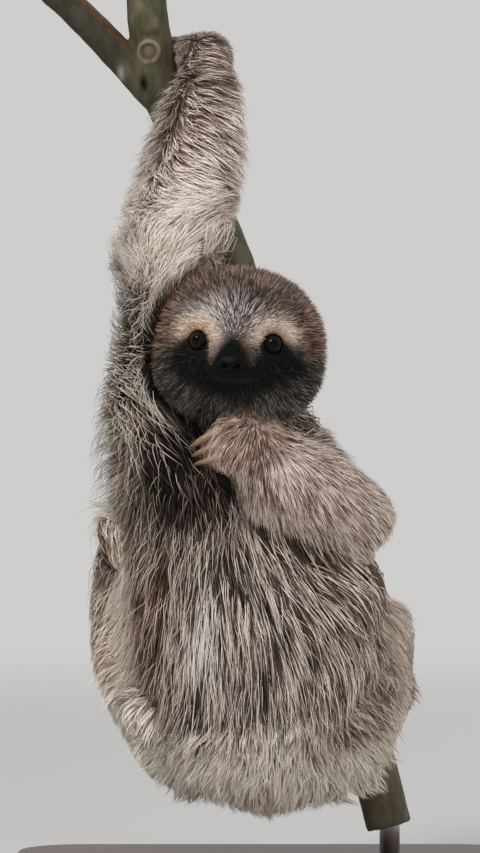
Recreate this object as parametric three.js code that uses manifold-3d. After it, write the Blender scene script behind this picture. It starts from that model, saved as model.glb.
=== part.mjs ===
// A young brown-throated three-toed sloth (Bradypus variegatus) as a still, life-size museum model.
// It hangs by its right arm from a leaning stem, its left arm folded across its chest and both legs drawn up
// beside the belly, with the feet gripping the stem behind its back. A flat base and a short rod hold it up.
// Units are millimetres, +Z is up, the animal faces -Y, and the origin is the middle of the base's underside.
// The body is one smooth field of rounded masses, out to the tips of the coat, made into a mesh for each part
// and divided by thin cuts halfway between neighbouring parts.
import * as THREE from "three";
import { mergeVertices } from "three/addons/utils/BufferGeometryUtils.js";
import Module from "manifold-3d";

const wasm = await Module();
wasm.setup();

// ---- Driving dimensions

const CUT = 1; // width of the thin cuts between parts
const CLEARANCE = 0.4; // room left round a stem, claw, eye or rod that another part touches

const HEAD_CENTRE = [-17, -46, 313];
const HEAD_TURN = { pitch: 0, yaw: -5, roll: 3 }; // degrees: down, to its left, to its left shoulder
const HEAD_RADII = [49, 47, 44];
const EYE_RADIUS = 5.4;
const EYE_PLACE = [20.5, -40.2, 0.5]; // the left eye in the head's own axes; the right one mirrors it
const NOSE_PLACE = [0, -59, -11.8];
const NOSE_RADII = [7.6, 5.2, 5.4];
const NOSTRIL = { out: 4, down: 1.6, radius: 1.4 };

const CLAWS_PER_FOOT = 3;
const CLAW_ROOT_RADIUS = 2.9;
const CLAW_TIP_RADIUS = 0.6;
const CLAW_SIDES = 5;
const CLAW_STEPS = 5;

const STEM_KNOTS = [
  // x, y, z, radius
  [70, 62, 32, 13.8],
  [62, 62, 62, 13.8],
  [47.5, 60, 112, 13.4],
  [32, 58, 162, 12.8],
  [15, 55, 224, 12.6],
  [-6, 50, 300, 12.4],
  [-28, 42, 380, 12.2],
  [-60, 34, 454, 12],
  [-69, 31, 485, 11.8],
  [-73, 29, 522, 11.6],
];
const BRANCH_KNOTS = [
  [-66, 31, 459, 10],
  [-87, 29, 481, 9.6],
  [-105, 27, 500, 9.3],
  [-128, 25, 522, 9.2],
];
const KNOT_STUB = { along: 0.945, length: 15, radius: 6.4 }; // a pruned twig on the stem's front

const BASE = { width: 300, depth: 250, height: 16, corner: 40, edge: 3 };
const ROD = { radius: 6, socket: 24 }; // the rod runs this far up into the stem

// ---- Fields: functions of a point that are negative inside a mass, and near its distance in millimetres

const vec = ([x, y, z]) => new THREE.Vector3(x, y, z);

// An ellipsoid along the part's axes.
function mass(centre, radii) {
  const [cx, cy, cz] = centre;
  const [rx, ry, rz] = radii;
  return ({ x, y, z }) => {
    const [u, v, w] = [(x - cx) / rx, (y - cy) / ry, (z - cz) / rz];
    const reach = Math.hypot(u, v, w);
    const slope = Math.hypot(u / rx, v / ry, w / rz);
    return slope < 1e-9 ? -Math.min(rx, ry, rz) : (reach * (reach - 1)) / slope;
  };
}

// A tapering limb along knots of [x, y, z, radius], bent smoothly from knot to knot.
function limb(...knots) {
  const line = new THREE.CatmullRomCurve3(knots.map(vec));
  const pieces = 4 * (knots.length - 1);
  const beads = Array.from({ length: pieces + 1 }, (_, i) => {
    const place = (i / pieces) * (knots.length - 1);
    const from = Math.min(Math.floor(place), knots.length - 2);
    const radius = THREE.MathUtils.lerp(knots[from][3], knots[from + 1][3], place - from);
    return { centre: line.getPoint(i / pieces), radius };
  });
  const [nearest, along] = [new THREE.Vector3(), new THREE.Vector3()];
  return (p) => {
    let least = Infinity;
    for (let i = 1; i < beads.length; i++) {
      const [a, b] = [beads[i - 1], beads[i]];
      along.subVectors(b.centre, a.centre);
      const share = nearest.subVectors(p, a.centre).dot(along) / along.lengthSq();
      const t = THREE.MathUtils.clamp(share, 0, 1);
      nearest.copy(a.centre).addScaledVector(along, t);
      least = Math.min(least, p.distanceTo(nearest) - THREE.MathUtils.lerp(a.radius, b.radius, t));
    }
    return least;
  };
}

// Joins two distances with a fillet about soft millimetres wide.
function fillet(a, b, soft) {
  const h = Math.max(soft - Math.abs(a - b), 0) / soft;
  return Math.min(a, b) - (h * h * soft) / 4;
}

const blend = (soft, ...fields) => (p) => fields.map((f) => f(p)).reduce((a, b) => fillet(a, b, soft));
const hollow = (soft, field, ...holes) => (p) =>
  holes.reduce((d, hole) => -fillet(-d, hole(p), soft), field(p));

// ---- The head, in its own axes: +X to its left, -Y forward, +Z up

const radians = THREE.MathUtils.degToRad;
const headToPart = new THREE.Matrix4()
  .makeRotationFromEuler(
    new THREE.Euler(radians(HEAD_TURN.pitch), radians(HEAD_TURN.roll), radians(HEAD_TURN.yaw)),
  )
  .setPosition(vec(HEAD_CENTRE));
const partToHead = headToPart.clone().invert();
const mirrored = ([x, y, z]) => [-x, y, z];
const inPart = (place) => vec(place).applyMatrix4(headToPart);

function headField() {
  const skull = mass([0, 3, 2], HEAD_RADII);
  const jowls = blend(10, mass([19, -10, -17], [28, 32, 27]), mass([-19, -10, -17], [28, 32, 27]));
  const brow = mass([0, -19, 15], [36, 29, 21]);
  const bridge = limb([0, -34, 6, 13], [0, -48, -8, 10]);
  const muzzle = mass([0, -43, -13], [18.5, 18.5, 12]);
  const chin = mass([0, -38, -23], [15, 16, 9]);
  const solid = blend(9, blend(14, skull, jowls, brow), blend(6, bridge, muzzle, chin));
  const socket = ([x, y, z]) => mass([x * 1.02, y - 9.6, z - 0.5], [8.6, 7, 7.2]);
  const mouth = mass([0, -57, -20], [13, 9, 1.6]);
  const open = hollow(4, solid, socket(EYE_PLACE), socket(mirrored(EYE_PLACE)));
  const face = hollow(1.5, open, mouth);
  const q = new THREE.Vector3();
  return (p) => face(q.copy(p).applyMatrix4(partToHead));
}

// ---- The parts of the body. soft is the fillet to what came before, cell the size of the mesh's facets

const COAT = {
  body: { color: 0x7d685b, roughness: 0.95 },
  limbs: { color: 0x8c7768, roughness: 0.95 },
  face: { color: 0x5d4a41, roughness: 0.9 },
};
const EYE_LOOK = { color: 0x120d0b, roughness: 0.08 };
const NOSE_LOOK = { color: 0x1b1716, roughness: 0.45 };
const CLAW_LOOK = { color: 0xb08a5a, roughness: 0.5 };
const BARK_LOOK = { color: 0x6b6353, roughness: 0.9 };
const BASE_LOOK = { color: 0x3f2a1d, roughness: 0.45 };
const ROD_LOOK = { color: 0xb9bcc0, roughness: 0.3, metalness: 1 };

const BODY = [
  {
    name: "torso_belly",
    field: blend(20, mass([-12, -17, 152], [77, 65, 74]), mass([-20, -15, 191], [72, 58, 50])),
    soft: 20,
    cell: 16,
    look: COAT.body,
  },
  {
    name: "torso_rump",
    field: mass([-1, -12, 106], [71, 60, 61]),
    soft: 26,
    cell: 16,
    look: COAT.body,
  },
  {
    name: "torso_chest",
    field: blend(20, mass([-32, -15, 234], [66, 54, 58]), mass([-60, -10, 266], [38, 36, 36])),
    soft: 26,
    cell: 16,
    look: COAT.body,
  },
  {
    name: "neck",
    field: limb([-28, -6, 271, 40], [-18, -20, 304, 40]),
    soft: 16,
    cell: 15,
    look: COAT.body,
  },
  {
    name: "head",
    field: headField(),
    soft: 6,
    cell: 14,
    fine: { cell: 6.4, low: [-50, -125, 280], high: [12, -70, 330] },
    look: COAT.face,
  },
  {
    name: "tail",
    field: limb([0, 38, 70, 12], [0, 54, 61, 10], [0, 64, 54, 7]),
    soft: 8,
    cell: 9,
    look: COAT.body,
  },
  {
    name: "upper_arm_right",
    field: limb([-66, -10, 284, 31], [-61, -14, 324, 28], [-58, -16, 364, 30]),
    soft: 16,
    cell: 15,
    look: COAT.limbs,
  },
  {
    name: "forearm_right",
    field: blend(
      8,
      limb([-57, -15, 376, 32], [-46, -10, 416, 31.5], [-41, -3, 447, 27], [-40, 6, 466, 21]),
      mass([-68, -14, 368], [23, 20, 18]),
    ),
    soft: 8,
    cell: 12,
    look: COAT.limbs,
  },
  {
    name: "hand_right",
    field: limb([-38, 14, 478, 18], [-40, 28, 483, 15.5], [-48, 40, 485, 12.5]),
    soft: 6,
    cell: 9,
    look: COAT.limbs,
  },
  {
    name: "upper_arm_left",
    field: limb([10, -12, 244, 26], [31, -22, 231, 22.5], [47, -32, 218, 21]),
    soft: 12,
    cell: 15,
    look: COAT.limbs,
  },
  {
    name: "forearm_left",
    field: limb([50, -40, 216, 22], [24, -56, 232, 27], [6, -66, 243, 24], [-8, -72, 250, 20]),
    soft: 6,
    cell: 12,
    look: COAT.limbs,
  },
  {
    name: "hand_left",
    field: limb([-8, -74, 254, 19], [-17, -78, 257.5, 17.5], [-26, -80, 257.5, 12]),
    soft: 4,
    cell: 8.6,
    look: COAT.limbs,
  },
  {
    name: "thigh_right",
    field: limb([-46, 6, 92, 35], [-69, 8, 131, 33], [-79, 9, 168, 28], [-79, 8, 196, 24]),
    soft: 12,
    cell: 15,
    look: COAT.limbs,
  },
  {
    name: "shin_right",
    field: limb([-76, 16, 182, 23], [-60, 42, 170, 19], [-38, 56, 158, 14]),
    soft: 6,
    cell: 11,
    look: COAT.limbs,
  },
  {
    name: "foot_right",
    field: limb([-32, 59, 156, 13.5], [-12, 66, 156, 13], [6, 72, 159, 9]),
    soft: 4,
    cell: 8.6,
    look: COAT.limbs,
  },
  {
    name: "thigh_left",
    field: limb([36, 6, 90, 34], [50, 8, 114, 32], [58, 10, 146, 26]),
    soft: 12,
    cell: 15,
    look: COAT.limbs,
  },
  {
    name: "shin_left",
    field: limb([60, 16, 150, 22], [68, 40, 132, 17], [72, 56, 116, 14]),
    soft: 6,
    cell: 11,
    look: COAT.limbs,
  },
  {
    name: "foot_left",
    field: limb([73, 60, 112, 13], [71, 74, 106, 12], [62, 83, 104, 9]),
    soft: 4,
    cell: 8.2,
    look: COAT.limbs,
  },
];

// A part's two limits at a point, both negative inside it: the distance out of the whole body, and how much
// nearer the point is to some other part.
function limitsOf(part) {
  const own = BODY.indexOf(part);
  return (p) => {
    const distances = BODY.map((b) => b.field(p));
    const whole = distances.reduce((sum, d, i) => fillet(sum, d, BODY[i].soft));
    const others = Math.min(...distances.filter((_, i) => i !== own));
    return [whole, distances[own] - others];
  };
}

// ---- Meshing a part

// Lattice lines from low to high, a cell apart, closer together between the fine limits.
function latticeLines(low, high, cell, fine, axis) {
  const lines = [low];
  while (lines.at(-1) < high) {
    const at = lines.at(-1);
    const close = fine && at > fine.low[axis] - cell && at < fine.high[axis];
    lines.push(at + (close ? fine.cell : cell));
  }
  return lines;
}

// Where the larger of two limits passes zero between two points, and which of them does so.
function crossing(limits, inside, outside) {
  const middle = new THREE.Vector3();
  for (let n = 0; n < 7; n++) {
    middle.lerpVectors(inside, outside, 0.5);
    if (Math.max(...limits(middle)) < 0) inside = middle.clone();
    else outside = middle.clone();
  }
  const [whole, other] = limits(outside);
  return { place: middle, active: whole > other ? 0 : 1 };
}

// Moves a point onto the zero of one or both limits. The cut keeps half its width away from the other part.
function settle(point, limits, active, most) {
  const start = point.clone();
  const probe = 0.15;
  for (let n = 0; n < 4 * active.length; n++) {
    const which = active[n % active.length];
    const value = limits(point)[which];
    const slope = vec(
      [0, 1, 2].map((axis) => {
        const ahead = point.clone().setComponent(axis, point.getComponent(axis) + probe);
        return (limits(ahead)[which] - value) / probe;
      }),
    );
    const steepness = Math.max(slope.length(), 0.3);
    const inward = value / steepness + (which ? CUT / 2 : 0);
    point.addScaledVector(slope.normalize(), -THREE.MathUtils.clamp(inward, -most, most));
  }
  const moved = point.clone().sub(start).clampLength(0, 2 * most);
  return point.copy(start).add(moved);
}

// Takes out lattice points that meet another inside point only across a square's corner, where the surface
// would touch itself along an edge.
function openCorners(inside, step) {
  let changed = true;
  while (changed) {
    changed = false;
    for (let here = 0; here < inside.length - step[0] - step[1]; here++)
      for (let axis = 0; axis < 3; axis++) {
        const [s, t] = [step[axis], step[(axis + 1) % 3]];
        const [a, b, c, d] = [here, here + s, here + t, here + s + t].map((n) => inside[n]);
        if (a !== d || b !== c || a === b) continue;
        inside[a ? here : here + s] = 0;
        changed = true;
      }
  }
}

// The closed surface round a part: one vertex in each lattice cell that the surface crosses, at the mean of
// the crossings, moved onto the surface, and a four-sided face for each lattice edge that it crosses.
function surfaceOf(limits, box, cell, fine) {
  const lines = [0, 1, 2].map((axis) =>
    latticeLines(box.min.getComponent(axis), box.max.getComponent(axis), cell, fine, axis),
  );
  const [nx, ny, nz] = lines.map((l) => l.length);
  const index = (i, j, k) => (i * ny + j) * nz + k;
  const node = (i, j, k) => vec([lines[0][i], lines[1][j], lines[2][k]]);
  const step = [index(1, 0, 0), index(0, 1, 0), index(0, 0, 1)];
  const inside = new Uint8Array(nx * ny * nz);
  for (let i = 1; i < nx - 1; i++)
    for (let j = 1; j < ny - 1; j++)
      for (let k = 1; k < nz - 1; k++)
        if (Math.max(...limits(node(i, j, k))) < 0) inside[index(i, j, k)] = 1;
  openCorners(inside, step);

  const cells = new Map();
  const rings = [];
  for (let i = 0; i < nx - 1; i++)
    for (let j = 0; j < ny - 1; j++)
      for (let k = 0; k < nz - 1; k++)
        for (let axis = 0; axis < 3; axis++) {
          const here = index(i, j, k);
          if (inside[here] === inside[here + step[axis]]) continue;
          const near = node(i, j, k);
          const far = near.clone().setComponent(axis, lines[axis][[i, j, k][axis] + 1]);
          const cross = inside[here] ? crossing(limits, near, far) : crossing(limits, far, near);
          const [s, t] = [step[(axis + 1) % 3], step[(axis + 2) % 3]];
          const ring = [here - s - t, here - t, here, here - s];
          for (const key of ring) {
            if (!cells.has(key)) cells.set(key, []);
            cells.get(key).push(cross);
          }
          rings.push(inside[here] ? ring : ring.reverse());
        }

  const vertexOf = new Map();
  const positions = [];
  for (const [key, crossings] of cells) {
    const mean = new THREE.Vector3();
    for (const { place } of crossings) mean.addScaledVector(place, 1 / crossings.length);
    const active = [0, 1].filter((which) => crossings.some((c) => c.active === which));
    vertexOf.set(key, positions.length / 3);
    positions.push(...settle(mean, limits, active, cell / 3));
  }
  const faces = rings.flatMap((ring) => {
    const [a, b, c, d] = ring.map((key) => vertexOf.get(key));
    return [a, b, c, a, c, d];
  });
  return { positions, faces };
}

// ---- Solids

const solidOf = ({ positions, faces }) =>
  new wasm.Manifold(
    new wasm.Mesh({
      numProp: 3,
      vertProperties: new Float32Array(positions),
      triVerts: new Uint32Array(faces),
    }),
  );

function solidFrom(geometry) {
  const bare = geometry.clone().deleteAttribute("normal").deleteAttribute("uv");
  const merged = mergeVertices(bare, 1e-3);
  return solidOf({ positions: merged.attributes.position.array, faces: merged.index.array });
}

function geometryOf(solid) {
  const { vertProperties, triVerts } = solid.getMesh();
  const geometry = new THREE.BufferGeometry();
  geometry.setAttribute("position", new THREE.BufferAttribute(vertProperties, 3));
  geometry.setIndex(new THREE.BufferAttribute(triVerts, 1));
  geometry.computeVertexNormals();
  return geometry;
}

// A solid with its surface moved out.
function grown(solid, distance) {
  const geometry = geometryOf(solid);
  const { position, normal } = geometry.attributes;
  const moved = position.array.map((value, n) => value + distance * normal.array[n]);
  return solidOf({ positions: moved, faces: geometry.index.array });
}

const largestOf = (solid) => solid.decompose().sort((a, b) => b.volume() - a.volume())[0];
const without = (solid, cutters) => cutters.reduce((left, cutter) => left.subtract(cutter), solid);

// A closed tube along a curve with round or oval rings. ringAt gives each ring's two half-widths and the way
// the first one points, as { wide, deep, side }.
function tube(curve, ringAt, sides, steps) {
  const positions = [];
  const faces = [];
  const tangent = new THREE.Vector3();
  for (let i = 0; i <= steps; i++) {
    const centre = curve.getPoint(i / steps);
    curve.getTangent(i / steps, tangent);
    const { wide, deep, side } = ringAt(i / steps);
    const out = side.clone().addScaledVector(tangent, -side.dot(tangent)).normalize();
    const across = new THREE.Vector3().crossVectors(tangent, out);
    for (let j = 0; j < sides; j++) {
      const angle = (2 * Math.PI * j) / sides;
      const point = centre.clone();
      point.addScaledVector(out, wide * Math.cos(angle)).addScaledVector(across, deep * Math.sin(angle));
      positions.push(...point);
    }
  }
  for (let i = 0; i < steps; i++)
    for (let j = 0; j < sides; j++) {
      const [a, b] = [i * sides + j, i * sides + ((j + 1) % sides)];
      faces.push(a, b, b + sides, a, b + sides, a + sides);
    }
  for (let j = 1; j < sides - 1; j++) {
    faces.push(0, j + 1, j);
    faces.push(steps * sides, steps * sides + j, steps * sides + j + 1);
  }
  return solidOf({ positions, faces });
}

// ---- The stem, its fork and the pruned twig

const stemLine = new THREE.CatmullRomCurve3(STEM_KNOTS.map(vec));
const branchLine = new THREE.CatmullRomCurve3(BRANCH_KNOTS.map(vec));

function knotRadius(knots, t) {
  const place = t * (knots.length - 1);
  const from = Math.min(Math.floor(place), knots.length - 2);
  return THREE.MathUtils.lerp(knots[from][3], knots[from + 1][3], place - from);
}

function stemAround(line, knots, extra, steps) {
  const sideways = vec([1, 0, 0]);
  return tube(
    line,
    (t) => ({ wide: knotRadius(knots, t) + extra, deep: knotRadius(knots, t) + extra, side: sideways }),
    12,
    steps,
  );
}

// The stem's centre and radius at a height.
function stemAt(height) {
  let [low, high] = [0, 1];
  for (let n = 0; n < 30; n++) {
    const middle = (low + high) / 2;
    if (stemLine.getPoint(middle).z < height) low = middle;
    else high = middle;
  }
  return { centre: stemLine.getPoint(low), radius: knotRadius(STEM_KNOTS, low) };
}

function twigStub(extra) {
  const at = stemLine.getPoint(KNOT_STUB.along);
  const front = new THREE.CylinderGeometry(
    KNOT_STUB.radius * 0.92 + extra,
    KNOT_STUB.radius * 1.15 + extra,
    KNOT_STUB.length + extra,
    12,
  );
  front.rotateX(Math.PI / 2 + radians(8));
  front.translate(at.x + 1, at.y - KNOT_STUB.length / 2, at.z);
  return solidFrom(front);
}

// ---- Claws

// A claw along points, wide at its root and narrow at its tip, deeper than it is wide.
function claw(points, side, extra) {
  const curve = new THREE.CatmullRomCurve3(points);
  const taper = (t) => THREE.MathUtils.lerp(CLAW_ROOT_RADIUS, CLAW_TIP_RADIUS, t ** 2) + extra;
  return tube(curve, (t) => ({ wide: taper(t) * 0.8, deep: taper(t) * 1.15, side }), CLAW_SIDES, CLAW_STEPS);
}

// A claw hooked round the stem behind the animal, from one angle to another as seen from above. Angle 0 is +X
// and 90 degrees is +Y. It sinks by drop, and closes in from gap start to gap end, measured from the bark.
function hookedClaw({ height, from, to, drop, start, end }, extra) {
  const points = Array.from({ length: 6 }, (_, i) => {
    const t = i / 5;
    const { centre, radius } = stemAt(height - drop * t);
    const angle = radians(THREE.MathUtils.lerp(from, to, t));
    const reach = radius + CLAW_ROOT_RADIUS * (1 - 0.45 * t) + THREE.MathUtils.lerp(start, end, t);
    return centre.add(vec([reach * Math.cos(angle), reach * Math.sin(angle), 0]));
  });
  return claw(points, vec([0, 0, 1]), extra);
}

// The folded hand's claws point away from the thumb side and curve in to the chest.
function foldedClaw({ root, bend, tip }, extra) {
  return claw([root, bend, tip].map(vec), vec([0.3, 0, 1]), extra);
}

const clawSets = {
  hand_right: (n) => (extra) =>
    hookedClaw({ height: 493 - 7.2 * n, from: 28, to: 138, drop: 6, start: 3.5, end: 1.2 }, extra),
  foot_right: (n) => (extra) =>
    hookedClaw({ height: 166 - 7 * n, from: 133, to: 4, drop: 5, start: 2.2, end: 1.0 }, extra),
  foot_left: (n) => (extra) =>
    hookedClaw({ height: 111 - 7 * n, from: 50, to: 180, drop: 5, start: 2.2, end: 1.0 }, extra),
  hand_left: (n) => (extra) =>
    foldedClaw(
      {
        root: [-25 + 1.5 * n, -84, 267 - 6.7 * n],
        bend: [-36 + 2 * n, -88, 262 - 6.3 * n],
        tip: [-46 + 1.2 * n, -78, 255 - 4.6 * n],
      },
      extra,
    ),
};

const claws = Object.entries(clawSets).flatMap(([limbName, make]) =>
  Array.from({ length: CLAWS_PER_FOOT }, (_, n) => ({ name: `claw_${limbName}_${n + 1}`, solid: make(n) })),
);

// ---- Eyes and nose

function eyeSolid(place, extra) {
  const geometry = new THREE.SphereGeometry(EYE_RADIUS + extra, 12, 7);
  return solidFrom(geometry.rotateX(Math.PI / 2).translate(...inPart(place)));
}

// The nose pad, with its two nostrils.
function noseSolid(extra) {
  const at = (x, y, z) => inPart(vec(NOSE_PLACE).add(vec([x, y, z])).toArray());
  const pad = new THREE.SphereGeometry(1, 12, 8);
  pad.scale(...NOSE_RADII.map((r) => r + extra)).translate(...NOSE_PLACE);
  const whole = solidFrom(pad.applyMatrix4(headToPart));
  if (extra) return whole;
  const holes = [-1, 1].map((side) => {
    const hole = new THREE.SphereGeometry(NOSTRIL.radius, 8, 6).scale(1.25, 2.4, 1);
    return solidFrom(hole.translate(...at(side * NOSTRIL.out, -NOSE_RADII[1] * 0.8, -NOSTRIL.down)));
  });
  return without(whole, holes);
}

// ---- Stand

function baseSolid() {
  const [w, d, r] = [BASE.width / 2 - BASE.edge, BASE.depth / 2 - BASE.edge, BASE.corner];
  const outline = new THREE.Shape();
  outline.moveTo(-w + r, -d).lineTo(w - r, -d).absarc(w - r, -d + r, r, -Math.PI / 2, 0);
  outline.lineTo(w, d - r).absarc(w - r, d - r, r, 0, Math.PI / 2);
  outline.lineTo(-w + r, d).absarc(-w + r, d - r, r, Math.PI / 2, Math.PI);
  outline.lineTo(-w, -d + r).absarc(-w + r, -d + r, r, Math.PI, 1.5 * Math.PI);
  const geometry = new THREE.ExtrudeGeometry(outline, {
    depth: BASE.height - 2 * BASE.edge,
    bevelThickness: BASE.edge,
    bevelSize: BASE.edge,
    bevelSegments: 1,
    curveSegments: 4,
  });
  return solidFrom(geometry.translate(0, 0, BASE.edge));
}

const stemFoot = vec(STEM_KNOTS[0]);

function rodSolid(extra) {
  const foot = BASE.height + CLEARANCE;
  const top = stemFoot.z + ROD.socket + extra;
  const rod = new THREE.CylinderGeometry(ROD.radius + extra, ROD.radius + extra, top - foot, 16);
  return solidFrom(rod.rotateX(Math.PI / 2).translate(stemFoot.x, stemFoot.y, (top + foot) / 2));
}

// ---- Building the parts

const model = new THREE.Group();

function add(name, solid, look) {
  const mesh = new THREE.Mesh(geometryOf(solid), new THREE.MeshStandardMaterial(look));
  mesh.name = name;
  model.add(mesh);
}

// The box that holds a part's own field, with room for the fillets round it.
function boxOf(part) {
  const box = new THREE.Box3();
  const p = new THREE.Vector3();
  for (p.x = -130; p.x <= 110; p.x += 8)
    for (p.y = -125; p.y <= 105; p.y += 8)
      for (p.z = 26; p.z <= 511; p.z += 8) if (part.field(p) < 6) box.expandByPoint(p);
  return box.expandByScalar(part.cell + 4);
}

const stem = stemAround(stemLine, STEM_KNOTS, 0, 14);
const branch = stemAround(branchLine, BRANCH_KNOTS, 0, 4);
const perch = largestOf(without(stem.add(twigStub(0)), [rodSolid(CLEARANCE)]));
const perchRoom = stemAround(stemLine, STEM_KNOTS, CLEARANCE, 14).add(twigStub(CLEARANCE));
const eyes = { eye_left: EYE_PLACE, eye_right: mirrored(EYE_PLACE) };

add("perch_stem", perch, BARK_LOOK);
add("perch_branch", largestOf(without(branch, [perchRoom])), BARK_LOOK);
add("stand_rod", rodSolid(0), ROD_LOOK);
add("stand_base", baseSolid(), BASE_LOOK);
for (const [name, place] of Object.entries(eyes)) add(name, eyeSolid(place, 0), EYE_LOOK);
add("nose", noseSolid(0), NOSE_LOOK);
for (const { name, solid } of claws) add(name, solid(0), CLAW_LOOK);

const rooms = [
  perchRoom,
  stemAround(branchLine, BRANCH_KNOTS, CLEARANCE, 4),
  ...Object.values(eyes).map((place) => eyeSolid(place, CLEARANCE)),
  noseSolid(CLEARANCE),
  ...claws.map(({ solid }) => solid(CLEARANCE)),
];

const fleshes = [];
for (const part of BODY) {
  let flesh = without(solidOf(surfaceOf(limitsOf(part), boxOf(part), part.cell, part.fine)), rooms);
  // Coarse facets may cross where three parts meet, and there the later part makes room.
  for (const earlier of fleshes)
    if (earlier.intersect(flesh).volume() > 0) flesh = flesh.subtract(grown(earlier, CLEARANCE));
  flesh = largestOf(flesh).simplify(0.2);
  fleshes.push(flesh);
  add(part.name, flesh, part.look);
}

export default model;
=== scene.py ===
"""Looks of the life-size three-toed sloth model: one skin over the solids of flesh, its coat as mesh
locks, eyes, nose and claws, the forked stem it hangs from, and the display stand.

Lengths are in metres unless a name says mm."""

import math

import bmesh
import bpy
import numpy as np
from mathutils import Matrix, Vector, noise
from mathutils.bvhtree import BVHTree
from mathutils.kdtree import KDTree


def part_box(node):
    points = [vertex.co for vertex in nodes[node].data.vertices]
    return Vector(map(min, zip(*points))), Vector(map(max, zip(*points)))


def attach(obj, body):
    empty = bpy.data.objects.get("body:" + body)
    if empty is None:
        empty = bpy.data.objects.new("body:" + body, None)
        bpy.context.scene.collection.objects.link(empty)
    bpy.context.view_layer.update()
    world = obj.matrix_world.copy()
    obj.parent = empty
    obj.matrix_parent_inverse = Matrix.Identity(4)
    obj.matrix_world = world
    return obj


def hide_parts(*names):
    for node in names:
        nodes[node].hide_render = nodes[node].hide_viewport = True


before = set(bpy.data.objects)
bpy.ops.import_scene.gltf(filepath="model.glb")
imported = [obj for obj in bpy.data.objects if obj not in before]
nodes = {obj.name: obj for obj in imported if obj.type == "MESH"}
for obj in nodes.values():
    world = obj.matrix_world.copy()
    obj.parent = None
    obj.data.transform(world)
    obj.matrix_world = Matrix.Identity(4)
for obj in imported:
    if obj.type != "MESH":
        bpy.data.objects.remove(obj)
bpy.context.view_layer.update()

MM = 0.001
SEED = 11
rng = np.random.default_rng(SEED)
noise.seed_set(SEED)  # without a seed its offsets come from the clock
SHARE = 1.0  # of the coat's locks

# ---- Camera

REFERENCE_PLANE_Y = -0.020  # the plane in which one millimetre counts for the framing
CAMERA_DISTANCE = 2.6
FRAME_HALF_HEIGHT = 0.2431  # in that plane
SENSOR_WIDTH_MM = 36

camera = bpy.data.objects.new("camera", bpy.data.cameras.new("camera"))
bpy.context.scene.collection.objects.link(camera)
camera.location = (-0.018, REFERENCE_PLANE_Y - CAMERA_DISTANCE, 0.267)
camera.rotation_euler = (math.pi / 2, 0, 0)
camera.data.sensor_width = SENSOR_WIDTH_MM
camera.data.lens = SENSOR_WIDTH_MM / 2 * CAMERA_DISTANCE / FRAME_HALF_HEIGHT
camera.data.clip_end = 100
bpy.context.scene.camera = camera


# ---- Small tools


def srgb(colour):
    """A display colour from 0 to 255 as the linear colour that shaders take."""
    part = np.array(colour) / 255
    return np.where(part > 0.04045, ((part + 0.055) / 1.055) ** 2.4, part / 12.92)


def unit(vectors):
    """Vectors of length one."""
    return vectors / np.maximum(np.linalg.norm(vectors, axis=-1, keepdims=True), 1e-12)


def ramp(value, low, high):
    """0 below low, 1 above high, smooth between. low may be above high."""
    t = np.clip((value - low) / (high - low), 0, 1)
    return t * t * (3 - 2 * t)


def bell(value, centre, width):
    """1 at the centre, falling off smoothly over the width."""
    return np.exp(-(((value - centre) / width) ** 2))


def spot(across, up, centre, size):
    """1 at the centre, falling off smoothly over the size, in two directions."""
    return np.exp(-(((across - centre[0]) / size[0]) ** 2) - ((up - centre[1]) / size[1]) ** 2)


def mix(a, b, share):
    """a where share is 0 and b where it is 1, for rows of vectors."""
    share = np.asarray(share)[:, None]
    return a * (1 - share) + b * share


def layered(rows, row_of, *layers):
    """Rows mixed towards one kind after another, each by its share. row_of gives the row of a kind."""
    for kind, share in layers:
        rows = mix(rows, row_of(kind)[None], np.clip(share, 0, 1))
    return rows


def rows_of(items, attribute, width, kind=float):
    """An attribute of each of a mesh's parts, as rows."""
    flat = np.zeros(len(items) * width, kind)
    items.foreach_get(attribute, flat)
    return flat.reshape(-1, width)


def coordinates(mesh):
    """A mesh's vertices as rows."""
    return rows_of(mesh.vertices, "co", 3)


def set_coordinates(mesh, rows):
    """Moves a mesh's vertices to these rows."""
    mesh.vertices.foreach_set("co", rows.ravel())
    mesh.update()


def vertex_normals(mesh):
    """A mesh's vertex normals as rows."""
    return rows_of(mesh.vertex_normals, "vector", 3)


def edge_pairs(mesh):
    """A mesh's edges as rows of two vertices."""
    return rows_of(mesh.edges, "vertices", 2, int)


def triangles(mesh):
    """A mesh's triangles as rows of three vertices."""
    mesh.calc_loop_triangles()
    return rows_of(mesh.loop_triangles, "vertices", 3, int)


def tree_of(mesh):
    """A mesh's triangles, to find the nearest of."""
    return BVHTree.FromPolygons(coordinates(mesh).tolist(), triangles(mesh).tolist())


def relaxed(values, pairs, rounds, share=1.0):
    """Rows of values at a mesh's vertices, averaged with their neighbours."""
    values = np.array(values, float)
    count = len(values)
    a, b = pairs.T
    degree = np.maximum(np.bincount(pairs.ravel(), minlength=count), 1)
    flat = values.reshape(count, -1)
    for _ in range(rounds):
        for column in range(flat.shape[1]):
            row = flat[:, column]
            total = np.bincount(a, row[b], count) + np.bincount(b, row[a], count)
            flat[:, column] = row * (1 - share) + share * total / degree
    return flat.reshape(values.shape)


def shown(name, mesh, material=None, smooth=True):
    """A new object of this mesh in the scene."""
    piece = bpy.data.objects.new(name, mesh)
    bpy.context.scene.collection.objects.link(piece)
    if material:
        mesh.materials.append(material)
    if smooth:
        mesh.shade_smooth()
    return piece


def with_modifiers(piece):
    """The piece's mesh with its modifiers applied."""
    view = bpy.context.evaluated_depsgraph_get()
    return bpy.data.meshes.new_from_object(piece.evaluated_get(view))


def finished(work, name):
    """A bmesh as a mesh with this name."""
    mesh = bpy.data.meshes.new(name)
    work.to_mesh(mesh)
    work.free()
    return mesh


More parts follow.
